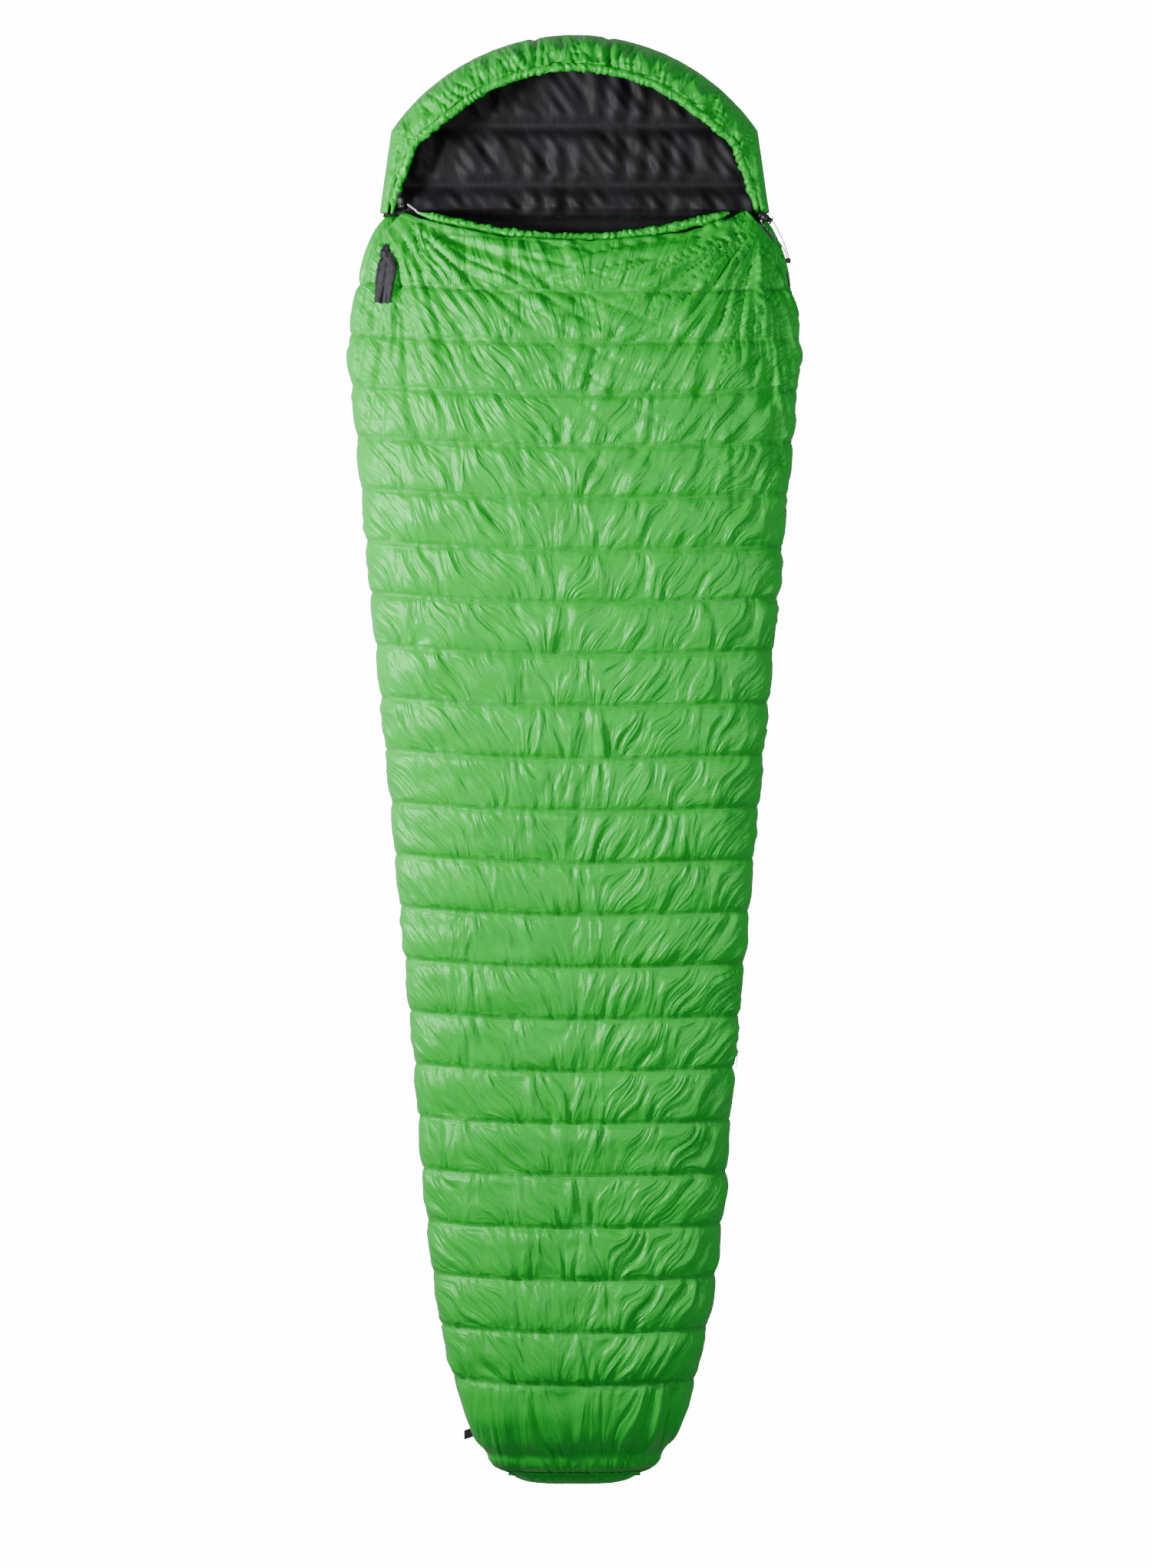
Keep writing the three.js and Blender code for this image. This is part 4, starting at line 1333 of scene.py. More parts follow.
@dataclass
class FootEnd:
    """The closed toe of the bag beyond its end seam, with the seam's binding."""

    form: BagForm
    front: FrontQuilt
    back: BackQuilt
    loops: int = 15
    binding_radius: float = 2.4

    def rim(self) -> Array:
        """Ring of points round both quilts at the end seam: over the front and back beneath."""
        over = self.front.surface[-1, ::2]
        under = self.back.surface[-1, ::-2]
        return np.concatenate([over, under[1:-1]])

    def build(self) -> None:
        """Makes the toe and the binding over the end seam, and dresses the toe's lining."""
        form, rim = self.form, self.rim()
        middle = np.array([0.0, 0.0, form.loft(np.asarray(form.foot_cap)) / 2])
        start = float(form.foot_share(np.asarray(form.end_seam)))
        reach = form.half_length + form.foot_cap - 2 * form.touch
        turn = np.arctan2(rim[:, 2] - middle[2], rim[:, 0])
        rings = []
        for share in np.sin(np.linspace(np.pi / 2, 0.03, self.loops)):
            push = reach * (1 - (share * start) ** 2.5) ** 0.4
            ring = middle + (rim - middle) * share
            gather = 1.5 * np.sin(turn * 34.0) * share**3 * (1 - share) * 6.0
            ring[:, 1] = mix(form.foot_cap - push + gather, rim[:, 1], share**12)
            ring[:, 2] = np.maximum(ring[:, 2], 0.6)
            rings.append(ring)
        count = len(rim)
        points = np.concatenate([np.concatenate(rings), [rings[-1].mean(axis=0)]])
        faces = []
        for i in range(self.loops - 1):
            for j in range(count):
                k = (j + 1) % count
                faces.append((i * count + j, i * count + k, (i + 1) * count + k, (i + 1) * count + j))
        last = (self.loops - 1) * count
        faces += [(last + j, last + (j + 1) % count, len(points) - 1) for j in range(count)]
        faces.append(tuple(range(count - 1, -1, -1)))
        uv = np.stack([points[:, 0], points[:, 2]], axis=1) * MM
        toe = face_outwards(make_object("foot_end", points, faces, uv))
        add_seam_mark(toe, np.zeros(count))
        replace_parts(NYLON.dress(toe), "foot_shell", "foot_down")
        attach(toe, "bag")
        dress_cad(LINING, "foot_liner")
        over = self.front.surface[-1]
        strip = even_path(over[np.abs(over[:, 0]) < 96.0], 160) + np.array([0.0, -1.2, 0.2])
        wave = 0.35 * np.sin(np.arange(160) * 0.9)[:, None] * np.ones((1, 10))
        binding = tube_object("foot_binding", strip, self.binding_radius, 10, wave)
        add_seam_mark(binding, np.zeros(1))
        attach(NYLON.dress(binding), "bag")
        LOG.info("foot end: %d points", len(points))


# ---------------------------------------- hood and collar
@dataclass
class Hood:
    """The hood round the face opening: back panel, rolled wall, gathered edge and its drawcord."""

    form: BagForm
    side: float = 282.0
    side_top: float = 265.0
    arc_y: float = 727.0
    arc_r: float = 323.0
    start_y: float = 795.0
    floor: float = 46.0
    lip_neck: float = 80.0
    lip_crown: float = 130.0
    band_neck: float = 12.0
    band_crown: float = 45.0
    tunnel: float = 6.5
    cord: float = 1.5
    stations: int = 361
    seams: tuple[float, ...] = (921.0, 835.6)
    creases: tuple[float, ...] = (-58.0, 49.0)

    def crown_y(self, x: Array) -> Array:
        """Top of the hood's outline at x."""
        return self.arc_y + np.sqrt(self.arc_r**2 - np.asarray(x, float) ** 2)

    def outline(self) -> Array:
        """The outline in plan, from the right neck corner over the crown to the left one."""
        start = math.acos(self.side_top / self.arc_r)
        turn = np.linspace(start, math.pi - start, 600)
        arc = np.stack([self.arc_r * np.cos(turn), self.arc_y + self.arc_r * np.sin(turn)], axis=1)
        ends = np.array([[self.side, self.start_y]])
        return even_path(np.concatenate([ends, arc, ends * [-1, 1]]), self.stations)

    def edge_frames(self) -> tuple[Array, Array, Array, Array]:
        """Outline points, inward directions, band widths and lip heights at each station."""
        at = self.outline()
        tangent = np.gradient(at, axis=0)
        tangent /= np.linalg.norm(tangent, axis=1, keepdims=True)
        inward = np.stack([-tangent[:, 1], tangent[:, 0]], axis=1)
        rise = smooth((at[:, 1] - self.start_y) / (self.form.half_length - self.start_y) / 0.75)
        band = mix(self.band_neck, self.band_crown, rise)
        return at, inward, band, mix(self.lip_neck, self.lip_crown, rise)

    def wall(self, section: Sequence[tuple[float, float]], cols: int) -> Array:
        """Surface of the rolled wall for a section given as shares of its band and of its height."""
        at, inward, band, lip = self.edge_frames()
        curve = even_path(catmull_rom(np.array(section, float), 200), cols)
        foot = self.floor + 2 * self.form.touch
        plan = at[:, None] + inward[:, None] * (curve[None, :, 0] * band[:, None])[..., None]
        z = foot + curve[None, :, 1] * (lip - foot)[:, None]
        return np.concatenate([plan, z[..., None]], axis=2)

    def build(self) -> None:
        """Makes every piece of the hood."""
        self.build_wall()
        self.build_back()
        self.build_edge()
        LOG.info("hood: wall, back panel and edge")

    def build_wall(self) -> None:
        """The down-filled wall with radial puckers, and its lining."""
        outside = ((0.08, 0.0), (0.0, 0.32), (0.1, 0.6), (0.45, 0.84), (1.0, 0.95))
        inside = ((0.8, 0.0), (0.78, 0.3), (0.8, 0.5), (0.86, 0.68), (0.98, 0.78))
        between = tuple(tuple(mix(np.array(a), np.array(b), 0.9)) for a, b in zip(outside, inside))
        grid = self.wall(outside, 41)
        normal = normals_of(grid)
        top = normal[self.stations // 2, 30, 2]
        normal *= np.sign(top)
        along = np.arange(self.stations)[:, None] * (path_length(self.outline()) / (self.stations - 1))
        reach = np.linspace(0.0, 1.0, 41)[None]
        x = grid[..., 0]
        warp = 11.0 * Ripple(61, 55.0).at(grid[..., 0], grid[..., 1]) + 3.0 * reach
        ridge = np.abs(np.sin((along + warp) * np.pi / 17.0)) ** 0.8 - 0.6
        fine = np.abs(np.sin((along - warp * 1.4) * np.pi / 9.0)) ** 0.9 - 0.6
        crown = smooth((grid[..., 1] - 850.0) / 120.0)
        uneven = 1 + 0.6 * Ripple(64, 30.0).at(along + 0 * reach, 20.0 * reach)
        lift = (ridge * 4.2 + fine * 2.2) * uneven * smooth((reach - 0.2) / 0.6) * (0.35 + 0.65 * crown)
        lift += 3.2 * Ripple(63, 34.0).at(grid[..., 0], grid[..., 1]) * smooth((reach - 0.2) / 0.6)
        lift += 2.0 * np.sin(reach * np.pi)
        for place in self.creases:
            lift -= 7.0 * np.exp(-(((x - place) / 5.0) ** 2)) * smooth(reach * 1.6) * crown
        lift *= smooth(reach / 0.06) * smooth((1 - reach) / 0.03)
        grid = grid + normal * lift[..., None]
        cloth = cloth_uv(grid.transpose(1, 0, 2)).transpose(1, 0, 2)
        pad = pad_object("hood_wall", grid, self.wall(between, 11)[::4], cloth)
        add_seam_mark(pad, np.zeros(1))
        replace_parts(NYLON.dress(pad), "hood_crown_shell", "hood_crown_down")
        bend_with_hood(pad)
        nearly = tuple(tuple(mix(np.array(a), np.array(b), 0.955)) for a, b in zip(outside, inside))
        lining = pad_object("hood_wall_lining", self.wall(inside, 21)[::2], self.wall(nearly, 11)[::4])
        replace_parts(LINING.dress(lining), "hood_crown_liner")
        bend_with_hood(lining)

    def panel(self, across: Array, along: Array, z: Array) -> Array:
        """Points of the back panel: across from -1 to 1 and along from the neck to the crown."""
        low_x, high_x = (self.side - 3) * across, (self.side_top - 3) * across
        low_y = self.form.neck + 2 * self.form.touch
        y = mix(low_y, self.crown_y(high_x) - 3, along)
        return np.stack(np.broadcast_arrays(mix(low_x, high_x, along), y, z), axis=2)

    def build_back(self) -> None:
        """The down-filled back panel under the head and its black lining with two seams."""
        a, b = np.linspace(-1, 1, 121)[None], np.linspace(0, 1, 61)[:, None]
        turn_a, turn_b = np.clip((np.abs(a) - 0.86) / 0.14, 0, 1), np.clip((b - 0.86) / 0.14, 0, 1)
        outer = np.sign(a) * (0.92 + 0.08 * np.sin(turn_a * np.pi / 2))
        across = np.where(np.abs(a) < 0.86, a / 0.86 * 0.92, outer)
        along = np.where(b < 0.86, b / 0.86 * 0.9, 0.9 + 0.1 * np.sin(turn_b * np.pi / 2))
        climb = 1 - np.cos(turn_a * np.pi / 2) * np.cos(turn_b * np.pi / 2)
        low = self.panel(across, along, 0.6 + climb * (self.floor - 3.0))
        seam_gap = np.min([np.abs(low[..., 1] - s) for s in self.seams], axis=0)
        valley = 7.0 * np.exp(-((seam_gap / 9.0) ** 2))
        low[..., 2] += (valley + 1.2 * np.abs(Ripple(71, 60.0).at(low[..., 0], low[..., 1]))) * (1 - climb)
        a, b = np.linspace(-1, 1, 31)[None], np.linspace(0, 1, 16)[:, None]
        inner = self.panel(a, b, np.array(self.floor * 0.93))
        pad = pad_object("hood_back", low, inner, cloth_uv(low))
        add_seam_mark(pad, np.exp(-((seam_gap / 3.0) ** 2)))
        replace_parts(NYLON.dress(pad), "hood_back_shell", "hood_back_down")
        bend_with_hood(pad)
        a, b = np.linspace(-1, 1, 201)[None], np.linspace(0, 1, 101)[:, None]
        top = self.panel(a * 0.99, b, np.array(self.floor * 0.99))
        x, y = top[..., 0], top[..., 1]
        gap = np.min([np.abs(y - s) for s in self.seams], axis=0)
        soft = 3.0 * Ripple(73, 46.0).at(x, y * 0.4) + 1.6 * Ripple(74, 22.0).at(x + y * 0.5, y * 0.5)
        diagonal = 2.4 * np.abs(np.sin((x * 0.8 + y * 0.6) / 38.0 + Ripple(75, 160.0).at(x, y)))
        rise = (7.0 + soft + diagonal) * (1 - np.exp(-((gap / 13.0) ** 2)))
        rise *= np.minimum(1, (1 - np.abs(a)) / 0.06)
        top[..., 2] += rise * np.minimum(1.0, b / 0.05) * np.minimum(1.0, (1 - b) / 0.08)
        a, b = np.linspace(-0.99, 0.99, 41)[None], np.linspace(0, 1, 21)[:, None]
        under = self.panel(a, b, np.array(self.floor * 0.955))
        lining = pad_object("hood_back_lining", top, under)
        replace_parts(LINING.dress(lining), "hood_back_liner")
        bend_with_hood(lining)

    def edge_path(self, count: int) -> Array:
        """Middle of the drawcord tunnel along the hood's edge."""
        at, inward, band, lip = self.edge_frames()
        plan = at + inward * (band + self.tunnel - 1.2)[:, None]
        return even_path(np.column_stack([plan, lip * 0.93]), count)

    def build_edge(self) -> None:
        """The gathered tunnel at the face opening and the drawcord in it."""
        path = self.edge_path(760)
        tube = gathered_tube("hood_edge_tunnel", path, self.tunnel, 13.0, 81)
        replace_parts(NYLON.dress(tube), "hood_edge_channel")
        bend_with_hood(tube)
        cord = tube_object("hood_cord", self.edge_path(240), self.cord, 10)
        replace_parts(FLECK_CORD.dress(cord), "hood_drawcord")
        bend_with_hood(cord)


def gathered_tube(name: str, path: Array, radius: float, wave: float, seed: int) -> bpy.types.Object:
    """Cloth tunnel gathered on its drawcord: a tube ringed by uneven puckers.

    Args:
        name: The piece's name.
        path: Its middle, in even steps.
        radius: Its mean radius.
        wave: Mean distance between puckers.
        seed: Seed of the unevenness.

    Returns:
        The tube.
    """
    sides = 22
    step = path_length(path) / (len(path) - 1)
    along = np.arange(len(path))[:, None] * step
    turn = np.linspace(0, 2 * np.pi, sides, endpoint=False)[None]
    warp = 7.0 * Ripple(seed, 55.0).at(along, turn * 9.0) + 2.4 * np.sin(turn * 2 + along / 45.0)
    ridge = np.abs(np.sin((along + warp) * np.pi / wave)) ** 0.75 - 0.62
    lumps = Ripple(seed + 1, 26.0).at(along, turn * 8.0)
    relief = ridge * radius * 0.3 * (1 + 0.5 * lumps) + radius * 0.14 * lumps
    ends = np.minimum(1.0, np.minimum(along, along[-1] - along) / 6.0)
    slim = 0.35 + 0.65 * smooth(np.minimum(along, along[-1] - along) / 24.0)
    tube = tube_object(name, path, (radius * slim)[:, 0], sides, relief * ends * slim)
    add_seam_mark(tube, np.zeros(1))
    return tube


@dataclass
class Collar:
    """The gathered tunnel along the front's neck edge and the white cord that closes it."""

    form: BagForm
    tunnel: float = 6.5
    cord: float = 1.5
    to_lock: tuple = ((-231, 796.5, 93), (-237.5, 801, 95.5), (-242.2, 804.2, 97))

    def middle(self) -> Array:
        """Middle of the tunnel, from the zip side to the left."""
        form, depth = self.form, 0.3
        right = [0.9, 0.8, 0.67, 0.55, 0.42, 0.28, 0.14]
        c = np.array([*right, 0.0, *(-share for share in reversed(right))])
        seam = form.seam_z + form.touch / 2 + form.zip_half * (1 + c) / 2
        rise = (1 - np.abs(c) ** 3) ** (1 / 3)
        x = (form.half_width(np.asarray(form.neck)) - form.side_wall * depth) * c
        y = form.neck - form.collar_dip * (1 - c * c) + self.tunnel + 3.5
        z = seam + (form.loft(np.asarray(form.neck)) - seam - form.wall * depth) * rise
        return np.stack([x, y, z], axis=1)

    def build(self) -> None:
        """Makes the tunnel and the cord."""
        path = even_path(catmull_rom(self.middle(), 600), 520)
        tube = gathered_tube("collar_tunnel", path, self.tunnel, 12.0, 91)
        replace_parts(NYLON.dress(tube), "collar_channel", "flap_collar_channel")
        bend_with_corner(tube)
        route = np.concatenate([self.middle(), np.array(self.to_lock, float)])
        cord = tube_object("collar_cord", even_path(catmull_rom(route, 600), 260), self.cord, 10)
        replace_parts(WHITE_CORD.dress(cord), "collar_drawcord", "flap_collar_drawcord")
        bend_with_corner(cord)
        LOG.info("collar: tunnel and cord")


# ---------------------------------------- side zip
def dress_cad(finish: Finish, *nodes: str, bevel: float = 0.0) -> None:
    """Gives CAD nodes a finish, and softens their edges where a bevel is given, in millimetres."""
    for name in nodes:
        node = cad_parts[name]
        finish.dress(node)
        if bevel:
            weld_points = node.modifiers.new("weld", "WELD")
            weld_points.merge_threshold = 0.00002
            soften = node.modifiers.new("soften", "BEVEL")
            soften.width, soften.segments, soften.limit_method = bevel * MM, 2, "ANGLE"
            soften.angle_limit = math.radians(35)


@dataclass(frozen=True)
class CoilTeeth:
    """Geometry Nodes tree that winds a zip's coil teeth along a path."""

    pitch: float = 1.9
    reach: float = 2.6
    thick: float = 0.9

    def tree(self) -> bpy.types.GeometryNodeTree:
        """The node tree, made once."""
        found = bpy.data.node_groups.get("coil_teeth")
        if found:
            return found
        tree = bpy.data.node_groups.new("coil_teeth", "GeometryNodeTree")
        face = tree.interface
        face.new_socket("Path", in_out="INPUT", socket_type="NodeSocketGeometry")
        for label in ("Pitch", "Reach", "Thickness"):
            face.new_socket(label, in_out="INPUT", socket_type="NodeSocketFloat")
        face.new_socket("Finish", in_out="INPUT", socket_type="NodeSocketMaterial")
        face.new_socket("Teeth", in_out="OUTPUT", socket_type="NodeSocketGeometry")
        graph = Graph(tree)
        given = graph.make("NodeGroupInput").socket.node.outputs
        path, pitch, reach, thick, finish = (Signal(graph, given[k]) for k in range(5))
        curve = graph.make("GeometryNodeMeshToCurve", None, {0: path})
        spaced = graph.make("GeometryNodeResampleCurve", {"mode": "LENGTH"}, {0: curve, "Length": pitch})
        tangent = graph.make("GeometryNodeInputTangent")
        turned = graph.make("FunctionNodeAlignRotationToVector", {"axis": "Z"}, {"Vector": tangent})
        shape = {"Vertices": 8, "Radius": reach * 0.5, "Depth": thick}
        bar = graph.make("GeometryNodeMeshCylinder", None, shape)
        soft = graph.make("GeometryNodeSetShadeSmooth", None, {0: bar})
        spots = {"Points": spaced, "Instance": soft, "Rotation": turned}
        placed = graph.make("GeometryNodeInstanceOnPoints", None, spots)
        whole = graph.make("GeometryNodeRealizeInstances", None, {0: placed})
        dressed = graph.make("GeometryNodeSetMaterial", None, {0: whole, "Material": finish})
        graph.make("NodeGroupOutput", None, {0: dressed})
        return tree

    def wind(self, name: str, path: Array) -> bpy.types.Object:
        """Teeth along a path in millimetres, as one plain mesh."""
        values = {"Pitch": self.pitch * MM, "Reach": self.reach * MM, "Thickness": self.thick * MM,
                  "Finish": COIL.material()}
        return run_tree(name, [path], self.tree(), values)


@dataclass
class SideZip:
    """The two-way zip round the shoulder and down the side."""

    form: BagForm
    back: BackQuilt
    top_y: float = 786.0
    top_slider_y: float = 776.0
    bottom_slider_y: float = -420.0
    inset: float = 2.4
    thick: float = 0.9
    coil_z: float = 1.45

    def line(self, count: int) -> tuple[Array, Array]:
        """The zip's line in plan and its outward directions, from the neck down."""
        y = np.linspace(self.top_y, self.form.zip_end + 4, 1500)
        path = even_path(np.stack([self.form.half_width(y), y], axis=1), count)
        tangent = np.gradient(path, axis=0)
        tangent /= np.linalg.norm(tangent, axis=1, keepdims=True)
        return path, np.stack([-tangent[:, 1], tangent[:, 0]], axis=1)

    def strip(self, name: str, inner: tuple[Array, float], outer: tuple[Array, float],
              below: bool) -> bpy.types.Object:
        """Tape between two lines.

        Args:
            name: The piece's name.
            inner: Distance out from the zip's line, and height, of the edge beside the teeth.
            outer: The same of the other edge.
            below: True for the strip under the teeth.

        Returns:
            The tape.
        """
        path, out = self.line(301)
        rows = []
        for share in np.linspace(0.0, 1.0, 5):
            reach = mix(inner[0], outer[0], share) - 0.4 * np.sin(share * np.pi)
            height = mix(inner[1], outer[1], share)
            plan = path + out * np.broadcast_to(reach, (len(path),))[:, None]
            rows.append(np.column_stack([plan, np.full(len(path), height)]))
        face = np.stack(rows, axis=1)
        behind = face.copy()
        behind[..., :2] -= out[:, None] * self.thick
        if below:
            behind[..., 2] -= 0.1
        return pad_object(name, face, behind, cloth_uv(face)[..., ::-1])

    def build(self) -> None:
        """Makes the tapes, the teeth, the sliders and the stops."""
        form = self.form
        path, _ = self.line(301)
        outset = np.minimum(8.5, np.maximum(0.0, self.back.flare(path[:, 1]) - 1.0))
        low = self.strip(
            "zip_tape_low", (-self.inset, form.seam_z - 2.6), (outset - self.inset, form.seam_z - 15.2), True
        )
        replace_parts(TAPE.dress(low), "zip_tape_back")
        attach(low, "bag")
        high = self.strip(
            "zip_tape_high", (-self.inset, form.seam_z + 2.6), (-self.inset, form.seam_z + 15.4), False
        )
        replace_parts(TAPE.dress(high), "zip_tape_front", "flap_zip_tape")
        bend_with_corner(high)
        line, out = self.line(700)
        plan = line - out * (self.inset - 0.8)
        low_z, high_z = (np.full(len(line), form.seam_z + dz) for dz in (-self.coil_z, self.coil_z))
        lower = CoilTeeth().wind("zip_teeth_low", np.column_stack([plan, low_z]))
        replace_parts(lower, "zip_coil_back")
        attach(lower, "bag")
        upper = CoilTeeth().wind("zip_teeth_high", np.column_stack([plan, high_z]))
        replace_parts(upper, "zip_coil_front", "flap_zip_coil")
        bend_with_corner(upper)
        for name, y in (("top", self.top_slider_y), ("bottom", self.bottom_slider_y)):
            self.build_puller(name, y)
        dress_cad(METAL, "top_slider", "bottom_slider", bevel=0.35)
        dress_cad(METAL, "zip_bottom_stop", "zip_top_stop", "flap_zip_top_stop", bevel=0.2)
        LOG.info("zip: tapes, teeth, two sliders, stops")

    def seat(self, y: float) -> Matrix:
        """Frame on the zip at y: X out of the zip, Y along it towards the head, Z up."""
        near = self.form.half_width(np.array([y - 0.5, y, y + 0.5]))
        turn = Matrix.Rotation(-math.atan(near[2] - near[0]), 4, "Z")
        return Matrix.Translation((near[1], y, self.form.seam_z)) @ turn

    def build_puller(self, name: str, y: float) -> None:
        """A slider's puller: a flat tab with an eye."""
        turn = np.linspace(0, -math.pi, 17)
        end = [(3.4 * math.cos(t), -20 + 3.4 * math.sin(t)) for t in turn]
        outline = [(-1.9, 1.2), (1.9, 1.2), (1.9, -3.2), (3.4, -8.0), *end, (-3.4, -8.0), (-1.9, -3.2)]
        eye, slot_hole = (
            [(wide * math.cos(t), y_hole + high * math.sin(t))
             for t in np.linspace(0, 2 * math.pi, count, endpoint=False)]
            for wide, high, y_hole, count in ((1.7, 1.7, -18.5, 20), (1.1, 1.6, -5.4, 16))
        )
        out = -(self.inset - 1.6) + 0.7 + 2.1
        stand = Matrix(((0, 0, 1, 0), (0, 1, 0, 0), (-1, 0, 0, 0), (0, 0, 0, 1)))
        place = self.seat(y) @ Matrix.Translation((out, -6.0 + 3.2, 0.0)) @ stand
        tab = block_object(f"{name}_pull_tab", outline[::-1], (0.0, 1.3), place, 0.3, (eye, slot_hole))
        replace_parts(METAL.dress(tab), f"{name}_puller")
        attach(tab, f"{name}_puller")


# ---------------------------------------- cords and locks
@dataclass
class CordLocks:
    """Two spring cord locks and the tabs that hold them.

    Attributes:
        travel: How far a button goes in.
        coil: Low end, high end, radius and wire radius of the spring.
        seats: Name, place and turn about Z of each lock.
    """

    radius: float = 5.5
    length: float = 15.0
    bore: float = 3.9
    travel: float = 3.5
    coil: tuple[float, float, float, float] = (4.4, 8.0, 2.4, 0.25)
    seats: tuple = (
        ("hood_lock", (267.0, 790.0, 97.0), -math.pi / 6),
        ("collar_lock", (-249.0, 799.0, 97.0), 1.75),
    )

    def build(self) -> None:
        """Makes both locks."""
        for name, at, turn in self.seats:
            lie = Matrix.Rotation(math.pi / 2, 4, "Y")
            place = Matrix.Translation(at) @ Matrix.Rotation(turn, 4, "Z") @ lie
            self.build_lock(name, place)
            self.build_spring(name, place)
        dress_cad(TAB, "hood_lock_tab", "collar_lock_tab", bevel=0.25)
        LOG.info("cord locks: hood and collar")

    def build_lock(self, name: str, place: Matrix) -> None:
        """One lock: a ribbed barrel and its button."""
        r, n, b = self.radius, self.length, self.bore
        barrel = lathe_object(
            f"{name}_body",
            ((0, 0), (r - 1.3, 0), (r - 0.5, 0.35), (r - 0.05, 1.1), (r - 0.05, 4.4), (r - 0.6, 4.9),
             (r - 0.6, 5.7), (r, 6.2), (r, n - 1.4), (r - 0.2, n - 0.5), (r - 0.7, n), (b + 0.2, n),
             (b, n - 0.3), (b, 4.0), (0, 4.0)),
            place, sides=48, ribs=12, rib_depth=0.4,
        )
        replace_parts(PLASTIC.dress(barrel), f"{name}_barrel")
        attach(barrel, "bag")
        t = self.travel + 0.5
        button = lathe_object(
            f"{name}_button",
            ((0, -6.5), (b - 0.6, -6.5), (b - 0.3, -6.2), (b - 0.3, t), (r - 0.5, t), (r - 0.1, t + 0.3),
             (r, t + 0.8), (r - 0.1, t + 1.8), (r - 0.6, t + 2.5), (r - 1.8, t + 2.9), (0, t + 2.9)),
            place @ Matrix.Translation((0, 0, n)), sides=48,
        )
        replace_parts(PLASTIC.dress(button), f"{name}_plunger")
        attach(button, f"{name}_plunger")

    def build_spring(self, name: str, place: Matrix) -> None:
        """The spring: a wire coil of two turns inside the lock."""
        low, high, radius, wire = self.coil
        turns = [(2 * math.pi * 2 * t, mix(low, high, t)) for t in np.linspace(0.0, 1.0, 49)]
        path = [place @ Vector((radius * math.cos(a), radius * math.sin(a), z)) for a, z in turns]
        spring = tube_object(f"{name}_coil", np.array([list(p) for p in path]), wire, 8)
        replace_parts(STEEL.dress(spring), f"{name}_spring")
        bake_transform(spring)


@dataclass
class PullStrands:
    """The free loop of the hood's drawcord: two strands from the lock to one cord end on the floor."""

    radius: float = 1.0
    routes: tuple = (
        ("pull_strand_a", ((270.3, 780.4, 97), (271.6, 776, 97.4), (276, 770.5, 96.4), (283, 764, 92),
                           (290.5, 757, 83), (298, 750, 69), (304.5, 743.5, 51), (308, 738, 31),
                           (310.2, 733.5, 14), (310.8, 731.4, 9.4))),
        ("pull_strand_b", ((279.5, 788.5, 90.6), (283, 785, 88.5), (288, 779, 84), (293.5, 771, 76),
                           (299, 762, 65), (304.5, 752.5, 50), (309, 743.5, 33), (312.3, 736, 17),
                           (313.6, 732.4, 9.4))),
    )
    end_low: tuple = (308.2, 726.5, 0.4)
    end_high: tuple = (316.2, 734.0, 8.8)

    def build(self) -> None:
        """Makes the cord end, then each strand."""
        low, high = np.array(self.end_low), np.array(self.end_high)
        half = (high - low)[:2] / 2
        middle = (high + low)[:2] / 2
        turn = np.linspace(0, 2 * np.pi, 40, endpoint=False)
        outline = [
            (half[0] * math.copysign(abs(math.cos(t)) ** 0.5, math.cos(t)),
             half[1] * math.copysign(abs(math.sin(t)) ** 0.5, math.sin(t)))
            for t in turn
        ]
        place = Matrix.Translation((*middle, 0.0))
        grip = block_object("cord_end_grip", outline, (low[2], high[2]), place, 1.2)
        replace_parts(PLASTIC.dress(grip), "cord_end")
        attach(grip, "bag")
        for name, points in self.routes:
            route = catmull_rom(np.array(points, float), 90)
            strand = tube_object(name + "_cord", route, self.radius, 12)
            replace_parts(FLECK_CORD.dress(strand), name)
            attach(strand, "bag")
            tuple(route[0] * MM)
            (route * MM).tolist()
            aim = Vector(route[2] - route[0]).to_track_quat("Z", "Y").to_matrix().to_4x4()
            ferrule = lathe_object(
                name + "_ferrule", ((0, -1.2), (1.5, -1.2), (1.9, -0.8), (1.9, 0.8), (1.5, 1.2), (0, 1.2)),
                Matrix.Translation(route[1]) @ aim, sides=20,
            )
            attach(STEEL.dress(ferrule), "bag")
        LOG.info("pull strands: two, with their cord end")


